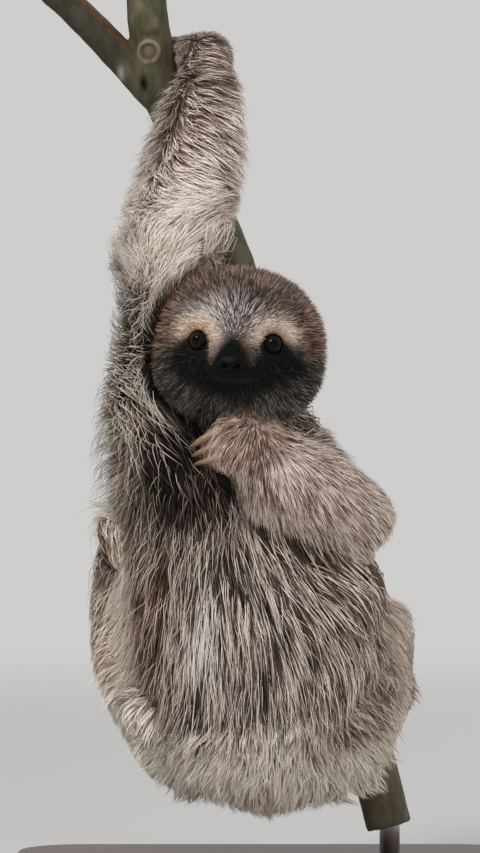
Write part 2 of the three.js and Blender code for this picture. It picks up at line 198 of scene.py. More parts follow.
def ball(name, around, up):
    """A ball of radius one, with this many faces around it and from pole to pole."""
    work = bmesh.new()
    bmesh.ops.create_uvsphere(work, u_segments=around, v_segments=up, radius=1)
    return finished(work, name)


def welded(name):
    """A CAD node's mesh to work on, with the corners that its faces share made one."""
    work = bmesh.new()
    work.from_mesh(nodes[name].data)
    bmesh.ops.remove_doubles(work, verts=work.verts, dist=1e-5)
    return work


def placed(piece, slot, *replaced):
    """Says what a piece rides on, and hides the CAD nodes that it stands for. slot is not used."""
    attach(piece, "root")
    if replaced:
        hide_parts(*replaced)


def fused(names, grow, voxel):
    """One mesh round the CAD nodes: copies of them, grown a little, made into one closed surface."""
    together = bmesh.new()
    for name in names:
        part = welded(name)
        part.normal_update()
        moved = [v.co + v.normal * grow for v in part.verts]
        for vertex, place in zip(part.verts, moved):
            vertex.co = place
        together.from_mesh(finished(part, "copy"))
    return remeshed(finished(together, "fused"), voxel)


def remeshed(mesh, voxel):
    """The mesh as one closed surface of even quads."""
    piece = shown("remesh", mesh)
    modifier = piece.modifiers.new("remesh", "REMESH")
    modifier.mode = "VOXEL"
    modifier.voxel_size = voxel
    result = with_modifiers(piece)
    bpy.data.objects.remove(piece)
    return result


# ---- Materials


def material(name, roughness, **sockets):
    """A material, its shader and its node tree."""
    made = bpy.data.materials.new(name)
    made.use_nodes = True
    shader = made.node_tree.nodes["Principled BSDF"]
    shader.inputs["Roughness"].default_value = roughness
    for socket, value in sockets.items():
        shader.inputs[socket.replace("_", " ")].default_value = value
    return made, shader, made.node_tree


def add_node(tree, kind, **settings):
    """A new shader node. A setting is a property's name, or a socket's title with _ for a space."""
    node = tree.nodes.new(kind)
    for key, value in settings.items():
        if hasattr(node, key):
            setattr(node, key, value)
        else:
            node.inputs[key.replace("_", " ")].default_value = value
    return node


def wire(tree, *links):
    """Links each source socket to its target."""
    for source, target in links:
        tree.links.new(source, target)


def noise_field(tree, scale, detail, stretch=(1, 1, 1)):
    """Noise in the object's own space."""
    place = add_node(tree, "ShaderNodeTexCoord")
    mapping = add_node(tree, "ShaderNodeMapping", Scale=stretch)
    field = add_node(tree, "ShaderNodeTexNoise", Scale=scale, Detail=detail)
    wire(
        tree,
        (place.outputs["Object"], mapping.inputs["Vector"]),
        (mapping.outputs[0], field.inputs["Vector"]),
    )
    return field.outputs["Fac"]


def colour_ramp(tree, source, stops):
    """A ramp of (place, colour) stops, driven by a socket."""
    node = add_node(tree, "ShaderNodeValToRGB")
    elements = node.color_ramp.elements
    for index, (place, colour) in enumerate(stops):
        element = elements[index] if index < 2 else elements.new(place)
        element.position = place
        element.color = (*colour, 1)
    tree.links.new(source, node.inputs[0])
    return node.outputs[0]


def tinted(tree, shader, source, stops):
    """Gives the shader the colours of a ramp of display colours, driven by a socket."""
    stops = [(place, srgb(colour)) for place, colour in stops]
    tree.links.new(colour_ramp(tree, source, stops), shader.inputs["Base Color"])


def bumped(tree, shader, height, distance, strength=1.0):
    """Adds a bump to a shader."""
    node = add_node(tree, "ShaderNodeBump", Strength=strength, Distance=distance)
    wire(tree, (height, node.inputs["Height"]), (node.outputs[0], shader.inputs["Normal"]))


def paint(mesh, colours):
    """Stores a linear colour for each vertex of a mesh."""
    layer = mesh.color_attributes.new("paint", "FLOAT_COLOR", "POINT")
    rows = np.ones((len(mesh.vertices), 4))
    rows[:, :3] = colours
    layer.data.foreach_set("color", rows.ravel())


def painted(name, roughness, specular, field, factors, bump=None, fine=None):
    """A material of the piece's own painted colours, varied between two factors by a noise field.

    bump is the distance and strength of a bump from that field, or from a finer one."""
    made, shader, tree = material(name, roughness, Specular_IOR_Level=specular)
    noise_socket = noise_field(tree, *field)
    colours = add_node(tree, "ShaderNodeVertexColor", layer_name="paint")
    vary = colour_ramp(tree, noise_socket, [(0.3, (factors[0],) * 3), (0.7, (factors[1],) * 3)])
    multiply = add_node(tree, "ShaderNodeMix", data_type="RGBA", blend_type="MULTIPLY", Factor=1)
    wire(
        tree,
        (colours.outputs["Color"], multiply.inputs["A"]),
        (vary, multiply.inputs["B"]),
        (multiply.outputs["Result"], shader.inputs["Base Color"]),
    )
    if bump:
        height = noise_field(tree, *fine) if fine else noise_socket
        bumped(tree, shader, height, *bump)
    return made


def nose_material():
    made, shader, tree = material("nose_leather", 0.24, Specular_IOR_Level=0.12)
    place = add_node(tree, "ShaderNodeTexCoord")
    cells = add_node(tree, "ShaderNodeTexVoronoi", Scale=1400.0)
    tree.links.new(place.outputs["Object"], cells.inputs["Vector"])
    pits = cells.outputs["Distance"]
    tinted(tree, shader, pits, [(0.0, (12, 12, 13)), (0.6, (4, 4, 4))])
    bumped(tree, shader, pits, 0.0003, 0.6)
    return made


def wood_material():
    made, shader, tree = material("base_walnut", 0.36, Coat_Weight=0.25, Coat_Roughness=0.15)
    browns = [(0.32, (46, 28, 17)), (0.5, (86, 54, 33)), (0.62, (64, 39, 24)), (0.75, (104, 68, 43))]
    tinted(tree, shader, noise_field(tree, 9, 6, (1, 14, 14)), browns)
    bumped(tree, shader, noise_field(tree, 120, 4, (0.12, 2, 2)), 0.0002, 0.5)
    return made


def steel_material():
    made, shader, tree = material("rod_steel", 0.3, Metallic=1.0)
    brushed = noise_field(tree, 400, 3, (1, 1, 0.02))
    greys = colour_ramp(tree, brushed, [(0.3, (0.5, 0.51, 0.53)), (0.7, (0.66, 0.67, 0.69))])
    tree.links.new(greys, shader.inputs["Base Color"])
    return made


# ---- The head's own axes: +X to its left, -Y forward, +Z up, from between the eyes, in mm


def centre_of(name):
    """The middle of a node's box."""
    low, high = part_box(name)
    return np.array((low + high) / 2)


EYE_RADIUS_MM = 5.4
NOSE_BELOW_FORWARD = math.radians(33.2)  # the nose's way, seen from between the eyes

eye_left, eye_right = centre_of("eye_left"), centre_of("eye_right")
between_eyes = (eye_left + eye_right) / 2
to_left = unit(eye_left - eye_right)
to_nose = unit(centre_of("nose") - between_eyes)
nose_up = unit(np.cross(to_nose, to_left))
to_front = to_nose * math.cos(NOSE_BELOW_FORWARD) + nose_up * math.sin(NOSE_BELOW_FORWARD)
to_up = np.cross(to_front, to_left)
HEAD_AXES = np.array([to_left, -to_front, to_up])
NOSE_MM = (HEAD_AXES @ (centre_of("nose") - between_eyes)) / MM
EYE_OUT_MM = np.linalg.norm(eye_left - eye_right) / 2 / MM
EYES_MM = {side: np.array([side * EYE_OUT_MM, 0, 0]) for side in (-1, 1)}


def head_mm(places):
    """Places in the head's own axes."""
    return (places - between_eyes) @ HEAD_AXES.T / MM


def from_head(rows):
    """The reverse of head_mm."""
    return rows @ HEAD_AXES * MM + between_eyes


def face_distances(places):
    """How far places are from the nose and from the nearer eye, in mm."""
    rows = head_mm(places)
    from_nose = np.linalg.norm(rows - NOSE_MM, axis=1)
    return from_nose, np.minimum(*(np.linalg.norm(rows - eye, axis=1) for eye in EYES_MM.values()))


# ---- The coat

# A zone is the dark, the middle and the light tone of its hairs and the share of light hairs
ZONES = {
    "arm": ((72, 55, 46), (186, 156, 140), (255, 240, 228), 0.48),
    "elbow": ((168, 138, 120), (255, 232, 216), (255, 250, 242), 0.76),
    "shoulder": ((16, 12, 10), (104, 81, 68), (252, 228, 210), 0.20),
    "chest": ((30, 24, 21), (132, 112, 101), (240, 222, 210), 0.30),
    # painted shade: the near-black armpit, under the chin and the raised arm
    "armpit": ((6, 6, 5), (26, 23, 21), (120, 102, 90), 0.05),
    "belly": ((15, 11, 10), (96, 77, 67), (250, 234, 222), 0.18),
    "streak": ((22, 18, 16), (110, 94, 86), (255, 248, 240), 0.46),
    "russet": ((30, 22, 18), (112, 84, 70), (226, 196, 178), 0.16),
    "right": ((26, 20, 17), (126, 102, 88), (250, 230, 214), 0.22),
    "fringe": ((112, 90, 75), (255, 234, 210), (255, 248, 236), 0.76),
    "flank": ((190, 158, 134), (255, 230, 206), (255, 244, 228), 0.80),
    # painted shade: a dark band standing for the shadow in the fold beside the pale flank strip
    "fold_shadow": ((62, 48, 40), (122, 98, 84), (200, 172, 154), 0.10),
    "edge": ((112, 90, 77), (204, 172, 153), (250, 226, 208), 0.36),
    "leg": ((84, 70, 62), (186, 160, 144), (252, 234, 220), 0.36),
    "thigh": ((186, 164, 148), (232, 208, 190), (250, 232, 216), 0.40),
    "folded": ((84, 65, 56), (194, 164, 149), (255, 238, 226), 0.42),
    "hand": ((74, 56, 47), (172, 142, 126), (236, 210, 194), 0.26),
    "wrist": ((70, 57, 50), (168, 146, 133), (232, 212, 200), 0.26),
    "back": ((46, 37, 31), (136, 113, 99), (222, 200, 184), 0.22),
    "patch": ((86, 72, 62), (194, 172, 157), (248, 230, 216), 0.50),
    "crown": ((21, 17, 15), (82, 67, 60), (156, 136, 126), 0.18),
    "temple": ((30, 22, 18), (104, 78, 64), (180, 146, 126), 0.22),
    "jowl": ((17, 16, 15), (66, 60, 55), (150, 140, 130), 0.19),
    "forehead": ((26, 23, 22), (122, 110, 106), (242, 236, 236), 0.42),
    "brow": ((132, 108, 90), (224, 198, 178), (252, 234, 216), 0.46),
    "lash": ((124, 86, 60), (212, 164, 128), (244, 208, 178), 0.45),
    "mask": ((8, 10, 10), (20, 23, 23), (60, 62, 60), 0.06),
    # painted highlight: the lower lip a little lighter than the mask round it
    "lip_highlight": ((26, 22, 22), (52, 45, 44), (84, 74, 70), 0.1),
    "rim": ((16, 14, 13), (38, 34, 32), (46, 42, 39), 0.0),
}

# For each node the coat's depth, its locks' length and width in mm, locks in a square centimetre, and zone
COAT = {
    "head": (5, 9, 0.55, 0, "crown"),
    "neck": (14, 30, 0.7, 40, "back"),
    "torso_chest": (14, 34, 0.62, 56, "chest"),
    "torso_belly": (14, 40, 0.62, 58, "belly"),
    "torso_rump": (14, 22, 0.62, 58, "fringe"),
    "tail": (4, 12, 0.6, 70, "back"),
    "upper_arm_right": (11, 22, 0.46, 84, "shoulder"),
    "forearm_right": (10, 22, 0.62, 66, "arm"),
    "hand_right": (3.5, 10, 0.5, 120, "wrist"),
    "upper_arm_left": (8, 20, 0.62, 80, "folded"),
    "forearm_left": (6.5, 15, 0.55, 125, "folded"),
    "hand_left": (2.6, 7, 0.45, 220, "hand"),
    "thigh_right": (5.5, 14, 0.55, 74, "edge"),
    "shin_right": (6, 18, 0.6, 50, "leg"),
    "foot_right": (3, 9, 0.5, 100, "hand"),
    "thigh_left": (3, 6, 0.42, 150, "thigh"),
    "shin_left": (6, 18, 0.6, 50, "leg"),
    "foot_left": (3, 9, 0.5, 100, "hand"),
}
FLESH = list(COAT)
DEPTH, LENGTH, WIDTH, DENSE = np.array([row[:4] for row in COAT.values()], float).T
TRUNK = ("neck", "torso_chest", "torso_belly", "torso_rump")

# Where the hair parts: on the raised shoulder towards elbow and flank, on the folded wrist towards hand and
# elbow, and on the brow
SHOULDER_WHORL = np.array([-0.112, 0.034, 0.306])
WRIST_WHORL = np.array([-0.007, -0.090, 0.278])
BROW_WHORL_MM = np.array([0.0, -12.0, 2.5])

# The hair's way on the nodes where it is the same all over
STEADY_LIE = {
    "thigh_left": (0.45, 0.25, -1),
    "shin_right": (0.8, 0.8, -0.5),
    "shin_left": (0.2, 0.9, -0.6),
    "foot_right": (1, 0.4, 0.1),
    "foot_left": (-0.2, 1, -0.3),
    "tail": (0, 0.6, -0.6),
}


def on(labels, *names):
    """Which of the labels are of these nodes."""
    return np.isin(labels, [FLESH.index(name) for name in names])


def fringe_share(places, start=0.87):
    """How far places lie in the pale fringe along the belly's lower rim, from 0 to 1."""
    x, _, z = places.T / MM
    out = np.hypot((x + 5) / np.where(x < -5, 88, 106), np.minimum(z - 175, 0) / 102)
    return ramp(out, start, 0.98) * ramp(z, 175, 135)


def turned(places, normals, degrees):
    """Directions on the surface: 0 runs round the body to the viewer's right in front, -90 runs down."""
    down = np.tile((0.0, 0.0, -1.0), (len(places), 1))
    across = unit(np.cross(normals, down))
    down = unit(down - normals * (down * normals).sum(1, keepdims=True))
    turn = np.radians(degrees)[:, None]
    return across * np.cos(turn) - down * np.sin(turn)


def lie_of(label, places, normals):
    """The way the hair points at places on the node with this label, before it is laid on the skin."""
    x, y, z = places.T / MM
    if label == "head":
        return unit((head_mm(places) - BROW_WHORL_MM) @ HEAD_AXES)
    if label in ("forearm_left", "hand_left"):
        return unit((places - WRIST_WHORL) * (1, 0.7, 1.1))
    if label == "upper_arm_right":
        rising = turned(places, normals, np.full(len(places), 44.0))
        return mix(unit(places - SHOULDER_WHORL), rising, ramp(z, 338, 368) * ramp(x, -98, -84))
    if label in ("forearm_right", "hand_right"):
        side = normals[:, 0]
        degrees = np.interp(side, [-1, -0.6, -0.1, 0.5, 1], [-84, -56, -34, -52, -75])
        degrees += 14 * ramp(z, 400, 470) - 45 * ramp(normals[:, 1], 0.0, 0.7)
        rising = np.interp(side, [-1, -0.3, 0.3, 1], [26, 44, 62, 84])
        degrees += (rising - degrees) * ramp(z, 420, 366) * ramp(normals[:, 1], 0.3, -0.1)
        out = np.outer(ramp(z, 395, 365) * ramp(side, -0.55, -0.9), (-1.2, 0, -0.1))
        return unit(turned(places, normals, degrees) + out)
    if label in TRUNK or label in ("upper_arm_left", "thigh_right"):
        front = ramp(y, 25, -15)
        lean = 44 * ramp(x, -45, 45) * ramp(z, 105, 195) + 14 * ramp(z, 195, 225) * ramp(x, 0, -60)
        lean += 38 * ramp(z, 232, 262)
        lean -= 14 * ramp(x, -70, -95) * ramp(z, 190, 150)
        degrees = -90 + lean * front
        degrees += fringe_share(places, 0.56) * front * (36 * ramp(x, 10, 50) - 44 * ramp(x, 10, -35))
        degrees += 22 * ramp(x, 38, 52) * bell(z, 186, 16) * front
        return turned(places, normals, degrees)
    way = np.tile(STEADY_LIE[label], (len(places), 1))
    if label == "thigh_left":
        way[:, 0] += np.sign(x) * 0.7 * ramp(z, 125, 80)
    return unit(way)


def zone_row(name):
    """A zone as ten numbers: three colours and the share of light hairs."""
    *colours, share = ZONES[name]
    return np.concatenate([*(srgb(colour) for colour in colours), [share]])


def head_look(places):
    """The zone numbers over the head."""
    x, y, z = head_mm(places).T
    side, out = np.sign(x), np.abs(x)
    front, lips = ramp(y, 45, 15), ramp(y, -5, -12)
    mouth = mouth_height(x)
    ring = np.hypot(out - EYE_OUT_MM, z)
    above = ramp(z - 0.10 * (out - EYE_OUT_MM), -2.0, 3.0)
    # painted shade: less brow on the viewer's right beside the nose, which lies in shade
    shade_right_of_nose = 1 - 0.45 * (side > 0) * ramp(out, 15, 11)
    across = [0, 3, 5, 7.5, 9.2, 11, 12.5, 14.5, 20, 26, 32, 39, 46]
    top = np.interp(out, across, [2.5, 1.5, -2, -5.5, -9, -13, -10, 1.5, 5, 3, -3, -9, -16])
    bottom = np.interp(out, [0, 10, 20, 32, 44], [-29, -28, -23, -17, -14])
    reach = np.where(side < 0, ramp(out, 40, 30), ramp(out, 44, 33))
    beside_nose = bell(out, 10.5, 2.6) * ramp(z, -11, -4) * ramp(z, 9, 3)
    return layered(
        zone_row("crown")[None],
        zone_row,
        ("temple", np.maximum(ramp(z, 24, 38) * 0.5, ramp(out, 26, 38) * ramp(z, -8, 2))),
        ("jowl", ramp(z, -4, -16) * ramp(y, 50, 20)),
        ("forehead", spot(x, z, (-5, 12), (19, 8.5)) * 1.15 * front),
        ("brow", bell(ring, 11.0, 3.6) * above * front * 1.2 * shade_right_of_nose),
        ("lash", bell(ring, 7.4, 1.9) * above * front * np.where(side < 0, 1.0, 0.45)),
        # painted shade: the pale band beside the nose is weaker on the viewer's right
        ("brow", beside_nose * front * np.where(side < 0, 0.5, 0.12)),
        # painted shade: jowl tone darkens the viewer's right beside the nose
        ("jowl", 0.6 * bell(out, 11.5, 3.6) * ramp(z, 3, -3) * front * (side > 0)),
        ("mask", ramp(z - top, 1.4, -1.4) * ramp(z - bottom, -6, 3) * reach * front),
        # painted highlight along the lower lip
        ("lip_highlight", bell(z, mouth - 2.4, 1.3) * ramp(out, 14, 9) * lips * 0.8),
        ("rim", ramp(np.abs(z - mouth), 2.2, 1.2) * ramp(out, 19, 15) * lips),
        ("rim", ramp(ring + 1.4 * ramp(z, -2, 2), 8.2, 7.0) * front),
    )


def coat_look(labels, places, normals):
    """The zone numbers at each vertex of the skin."""
    look = np.zeros((len(places), 10))
    for index, name in enumerate(FLESH):
        here = labels == index
        if here.any():
            look[here] = head_look(places[here]) if name == "head" else zone_row(COAT[name][-1])
    x, y, z = places.T / MM
    trunk, thigh = on(labels, *TRUNK), on(labels, "thigh_right")
    arm, upper = on(labels, "forearm_right"), on(labels, "upper_arm_right")
    front = ramp(y, 22, -2) * trunk
    side = (trunk | thigh) * ramp(y, 16, 2)
    strip = -85 + 0.14 * (200 - z)
    pale = bell(x, -37, 9) * bell(z, 172, 32) + 0.5 * bell(x, -2, 18) * bell(z, 122, 26)
    pale += 0.4 * bell(x, -34, 20) * bell(z, 105, 18)
    # where the armpit's painted shade lies
    armpit = spot(x, z, (-50, 258), (np.where(x < -50, 30, 36), 38))
    folded = on(labels, "upper_arm_left", "forearm_left")
    limbs = on(labels, "forearm_right", "upper_arm_right", "hand_right")
    behind = ramp(y, 4, 24) * trunk + 0.8 * ramp(normals[:, 1], 0.1, 0.6) * limbs
    blotches = ramp(wavy(places, 24, 17.0)[:, 0], 0.12, 0.42)
    return layered(
        look,
        zone_row,
        ("right", ramp(x, 5, 40) * ramp(z, 235, 200) * front),
        ("edge", 0.5 * trunk * ramp(x, 42, 56) * ramp(z, 150, 170)),
        ("russet", bell(x, -64, 13) * ramp(z, 100, 130) * ramp(z, 228, 200) * front * 0.85),
        ("streak", pale * ramp(streaks(places), 0.1, 0.5) * front * 0.9),
        ("flank", 1.3 * bell(x, strip, 6.5) * ramp(z, 112, 145) * ramp(z, 238, 214) * side),
        # painted shade along the fold beside the pale flank strip
        ("fold_shadow", bell(x, strip - 9.5, 2.6) * ramp(z, 130, 160) * ramp(z, 226, 204) * side),
        # painted shade in the armpit
        ("armpit", armpit * 1.6 * front),
        ("fringe", 1.1 * fringe_share(places) * trunk * front),
        ("fringe", thigh * ramp(z, 140, 110)),
        ("thigh", trunk * ramp(x, 54, 62) * ramp(z, 198, 186) * ramp(z, 116, 128)),
        ("leg", 0.7 * trunk * ramp(x, 48, 66) * ramp(z, 128, 112)),
        ("edge", 0.55 * trunk * ramp(x, -72, -90) * ramp(z, 225, 245) * ramp(z, 300, 270)),
        ("elbow", arm * ramp(z, 425, 385) * ramp(normals[:, 0], 0.7, -0.2)),
        ("wrist", arm * ramp(z, 450, 475)),
        ("elbow", upper * ramp(z, 325, 355) * 0.8),
        # painted shade where the raised arm meets the armpit
        ("armpit", upper * ramp(x, -90, -64) * ramp(z, 350, 312)),
        ("edge", 0.55 * upper * ramp(x, -76, -92) * ramp(z, 300, 270)),
        ("leg", 0.7 * folded * ramp(x, 15, 55)),
        ("back", behind),
        ("patch", behind * blotches * trunk * ramp(z, 250, 200)),
    )


def shortness(labels, places):
    """What share of its usual length the hair keeps at each vertex."""
    x, _, z = places.T / MM
    keep = np.ones(len(places))
    keep -= 0.5 * on(labels, "upper_arm_right") * ramp(x, -64, -44)
    keep -= 0.35 * on(labels, "thigh_right") * ramp(z, 195, 215)
    keep += 1.6 * on(labels, "hand_left") * ramp(x, -10, -26)
    keep += 0.6 * on(labels, "forearm_right") * ramp(z, 375, 362) * ramp(x, -62, -45)
    keep -= 0.5 * on(labels, "torso_belly") * fringe_share(places, 0.7)
    edges = 0.55 * ramp(x, -70, -90) + 0.5 * ramp(x, 42, 62) * (1 - 0.9 * bell(z, 186, 16))
    return keep - on(labels, "torso_chest", "torso_belly") * edges


def wavy(places, scale, seed):
    """A slowly changing random vector for each place."""
    offset = Vector((seed, seed * 2.3, -seed))
    return np.array([noise.noise_vector(Vector(place) * scale + offset) for place in places.tolist()])


def streaks(places):
    """A random field drawn out down the body, from -1 to 1."""
    return wavy(places * (1, 1, 0.22), 95, 7.0)[:, 0] * 1.6


# ---- The skin

GROWN = 0.0006  # what the nodes of flesh are grown by before they are fused
COARSE_VOXEL, SKIN_VOXEL = 0.0020, 0.0022
LEAST_GAP = 0.0003  # between the skin and the coat's outline
MUZZLE_MM = 4.2  # what the skin round the nose stands out by
GAZE = {side: unit(np.array([side * 0.30, -1.0, 0.04])) for side in (-1, 1)}
MOUTH_BELOW_MM = -19.1


def labels_near(places):
    """For each place, which node of flesh is nearest."""
    corners, faces, owner = [], [], []
    for index, name in enumerate(FLESH):
        mesh = nodes[name].data
        found = triangles(mesh)
        faces.append(found + sum(len(c) for c in corners))
        corners.append(coordinates(mesh))
        owner += [index] * len(found)
    tree = BVHTree.FromPolygons(np.concatenate(corners).tolist(), np.concatenate(faces).tolist())
    return np.array([owner[tree.find_nearest(place)[2]] for place in places.tolist()])


def nearest_rows(table, places):
    """For each place, the row of the table that is nearest."""
    tree = KDTree(len(table))
    for index, row in enumerate(table.tolist()):
        tree.insert(row, index)
    tree.balance()
    return np.array([tree.find(place)[1] for place in places.tolist()])


def coat_depth(labels, places):
    """How deep the skin lies under the coat's outline, in metres."""
    depth = DEPTH[labels]
    head = on(labels, "head")
    from_nose, from_eye = face_distances(places[head])
    depth[head] = np.minimum(
        np.interp(from_nose, [6, 14, 26, 42, 75], [0.6, 1.0, 1.9, 2.8, 4.2]),
        np.interp(from_eye, [7, 12, 20, 30], [0.5, 1.0, 2.2, 9]),
    )
    x, _, z = places.T / MM
    belly, thigh = on(labels, "torso_belly"), on(labels, "thigh_left")
    depth -= 6 * belly * ramp(x, 25, 55)
    depth -= 4 * belly * ramp(x, 35, 50) * ramp(z, 160, 172)
    depth -= 2 * thigh * ramp(z, 150, 165)
    depth += 6 * thigh * ramp(x, 70, 80) * ramp(z, 154, 163)
    return depth * MM


def peeled(mesh, labels):
    """The mesh moved inward by the coat's depth, in small steps."""
    pairs = edge_pairs(mesh)
    places = relaxed(coordinates(mesh), pairs, 10, 0.5)
    depth = relaxed(coat_depth(labels, places), pairs, 14)
    steps = 6
    for _ in range(steps):
        set_coordinates(mesh, places)
        places = places - vertex_normals(mesh) * depth[:, None] / steps
        places = relaxed(places, pairs, 2, 0.5)
    set_coordinates(mesh, places)


def subdivided_round(mesh, spots):
    """Finer faces within each (place, radius)."""
    work = bmesh.new()
    work.from_mesh(mesh)
    for place, radius in spots:
        middle = Vector(place)
        close = [e for e in work.edges if (e.verts[0].co - middle).length < radius]
        bmesh.ops.subdivide_edges(work, edges=close, cuts=1, use_grid_fill=True, smooth=0.4)
    bmesh.ops.triangulate(work, faces=[f for f in work.faces if len(f.verts) > 4])
    work.to_mesh(mesh)
    work.free()
    mesh.update()


def mouth_height(x):
    """The height of the line of the mouth, x off the middle, in the head's own axes."""
    return MOUTH_BELOW_MM + 0.013 * x**2


def sculpt_face(mesh):
    """Lids round the eyes, the mouth, the nose's bed, and the cleft under the nose."""
    rows = head_mm(coordinates(mesh))
    near = (rows[:, 1] < 14) & (np.abs(rows[:, 0]) < 34) & (np.abs(rows[:, 2] + 8) < 34)
    p = rows[near]
    x, _, z = p.T
    mouth_z = mouth_height(x)
    front = ramp(p[:, 1], -4, -10)
    round_nose = np.hypot((x - NOSE_MM[0]) / 10, (z - NOSE_MM[2] + 0.5) / 9)
    p[:, 1] -= MUZZLE_MM * ramp(round_nose, 1.6, 0.5) * front
    inside = ramp(np.abs(x), 18.5, 13)
    p[:, 1] += 1.9 * bell(z, mouth_z, 0.85) * inside * front
    p[:, 1] -= 0.8 * bell(z, mouth_z - 2.3, 1.5) * ramp(np.abs(x), 13, 5) * front
    p[:, 1] -= 0.7 * bell(z, mouth_z + 2.6, 1.9) * bell(np.abs(x), 5.5, 4.5) * front
    p[:, 1] += 0.6 * bell(x, 0, 0.8) * ramp(z, mouth_z, mouth_z + 1.5) * ramp(z, -10, -13) * front
    for side, gaze in GAZE.items():
        centre = EYES_MM[side]
        away = p - centre
        far = np.linalg.norm(away, axis=1)
        angle = np.degrees(np.arccos(np.clip(unit(away) @ gaze, -1, 1)))
        lift = unit(away)[:, 2]
        opening = 57 - 7 * np.clip(lift, 0, 1) + 2 * np.clip(-lift, 0, 1)
        lid = EYE_RADIUS_MM + 0.55 + 0.35 * bell(angle, opening + 6, 7)
        covered = (angle > opening) & (angle < 112) & (far < lid)
        hidden = (angle <= opening) & (far > EYE_RADIUS_MM - 0.7) & (far < 12)
        radius = np.where(covered, lid, np.where(hidden, EYE_RADIUS_MM - 0.7, far))
        p = centre + unit(away) * radius[:, None]
        crease = np.linalg.norm(p - centre, axis=1)
        p[:, 1] += 0.5 * bell(crease, 8.4, 0.9) * ramp(angle, opening, opening + 12) * (angle < 100)
    rows[near] = p
    set_coordinates(mesh, from_head(rows))


class Skin:
    """The skin's mesh, with what the coat needs to know at each vertex."""

    def __init__(self):
        coarse = fused(FLESH, GROWN, COARSE_VOXEL)
        outline = tree_of(coarse)
        labels = labels_near(coordinates(coarse))
        peeled(coarse, labels)
        self.mesh = remeshed(coarse, SKIN_VOXEL)
        old = nearest_rows(coordinates(coarse), coordinates(self.mesh))
        places = relaxed(coordinates(self.mesh), edge_pairs(self.mesh), 2, 0.5)
        set_coordinates(self.mesh, places)
        spots = [(from_head(NOSE_MM + (0, 6, -4)), 0.024)]
        spots += [(from_head(eye), radius) for radius in (0.011, 0.0085) for eye in EYES_MM.values()]
        before = coordinates(self.mesh)
        subdivided_round(self.mesh, spots)
        again = nearest_rows(before, coordinates(self.mesh))
        self.labels = labels[old][again]
        sculpt_face(self.mesh)
        self.mesh.name = "skin"
        self.places = coordinates(self.mesh)
        self.pairs = edge_pairs(self.mesh)
        self.normals = unit(relaxed(vertex_normals(self.mesh), self.pairs, 3))
        self.lie = self.laid()
        self.look = relaxed(coat_look(self.labels, self.places, self.normals), self.pairs, 2)
        self.keep = relaxed(shortness(self.labels, self.places), self.pairs, 4)
        gap = np.array([outline.find_nearest(place)[3] for place in self.places.tolist()])
        on_face = on(self.labels, "head") & (head_mm(self.places)[:, 1] < 0)
        gap[on_face] = np.minimum(gap, coat_depth(self.labels, self.places) + GROWN)[on_face]
        self.gap = np.maximum(relaxed(gap - GROWN, self.pairs, 4), LEAST_GAP)

    def laid(self):
        """Each vertex's hair direction, along the skin."""
        lie = np.zeros_like(self.places)
        for index, name in enumerate(FLESH):
            here = self.labels == index
            if here.any():
                lie[here] = lie_of(name, self.places[here], self.normals[here])
        for _ in range(5):
            lie = relaxed(lie, self.pairs, 3)
            lie = unit(lie - self.normals * (lie * self.normals).sum(1, keepdims=True))
        return lie

    def unwrap(self):
        """Gives the mesh its OFBake map."""
        piece = self.piece
        bpy.context.view_layer.objects.active = piece
        piece.select_set(True)
        self.mesh.uv_layers.new(name="OFBake")
        bpy.ops.object.mode_set(mode="EDIT")
        bpy.ops.mesh.select_all(action="SELECT")
        bpy.ops.uv.smart_project(angle_limit=math.radians(66), island_margin=0.002)
        bpy.ops.object.mode_set(mode="OBJECT")
        piece.select_set(False)

    def show(self):
        """Puts the skin in the scene."""
        dark, middle = self.look[:, :3], self.look[:, 3:6]
        on_head = on(self.labels, "head")[:, None]
        # painted shade: the skin is darker than the hair over it, so the gaps between the locks read as
        # shade
        colours = np.where(on_head, middle * 0.6, dark * 0.5 + middle * 0.25)
        paint(self.mesh, colours)
        look = painted("coat_skin", 0.8, 0.08, (700, 5), (0.7, 1.1), bump=(0.0008,))
        self.piece = shown("skin", self.mesh, look)
        self.unwrap()
        placed(self.piece, "coat", *FLESH)


# ---- The coat's locks

PER_CM2 = 1e4  # square centimetres in a square metre
ROOT_DEPTH = 0.0005  # of a lock's start, under the skin
LOCK_ACROSS, LOCK_THICK = 1.15, 0.75  # a lock's section, in half widths
ROUNDNESS = 0.55  # the share of a lock's own form in its shading, against the skin's
DARKEST, BRIGHTEST = 0.002, 0.95  # limits of a hair's linear colours
PATCH = 0.003  # the side of a lock's patch in the OFBake map
LEAST_HEIGHT = 0.0026  # of the coat on the body


class Ground:
    """The skin as triangles to grow from, and as a surface to stay above."""

    def __init__(self, skin):
        mesh = skin.mesh
        self.corners = triangles(mesh)
        self.loops = rows_of(mesh.loop_triangles, "loops", 3, int)
        sides = skin.places[self.corners]
        cross = np.cross(sides[:, 1] - sides[:, 0], sides[:, 2] - sides[:, 0])
        self.area = np.linalg.norm(cross, axis=1) / 2
        self.labels = skin.labels[self.corners[:, 0]]
        self.uv = rows_of(mesh.uv_layers["OFBake"].data, "uv", 2)
        self.tree = BVHTree.FromPolygons(skin.places.tolist(), self.corners.tolist())
        self.normal = unit(skin.normals[self.corners].mean(1))
        self.lie = unit(skin.lie[self.corners].mean(1))
        self.middle = sides.mean(1)
        self.skin = skin

    def under(self, places):
        """For each place the triangle under it and the height above the skin."""
        found = [self.tree.find_nearest(place) for place in places.tolist()]
        index = np.array([hit[2] for hit in found])
        foot = np.array([hit[0] for hit in found])
        height = ((places - foot) * self.normal[index]).sum(1)
        return index, height


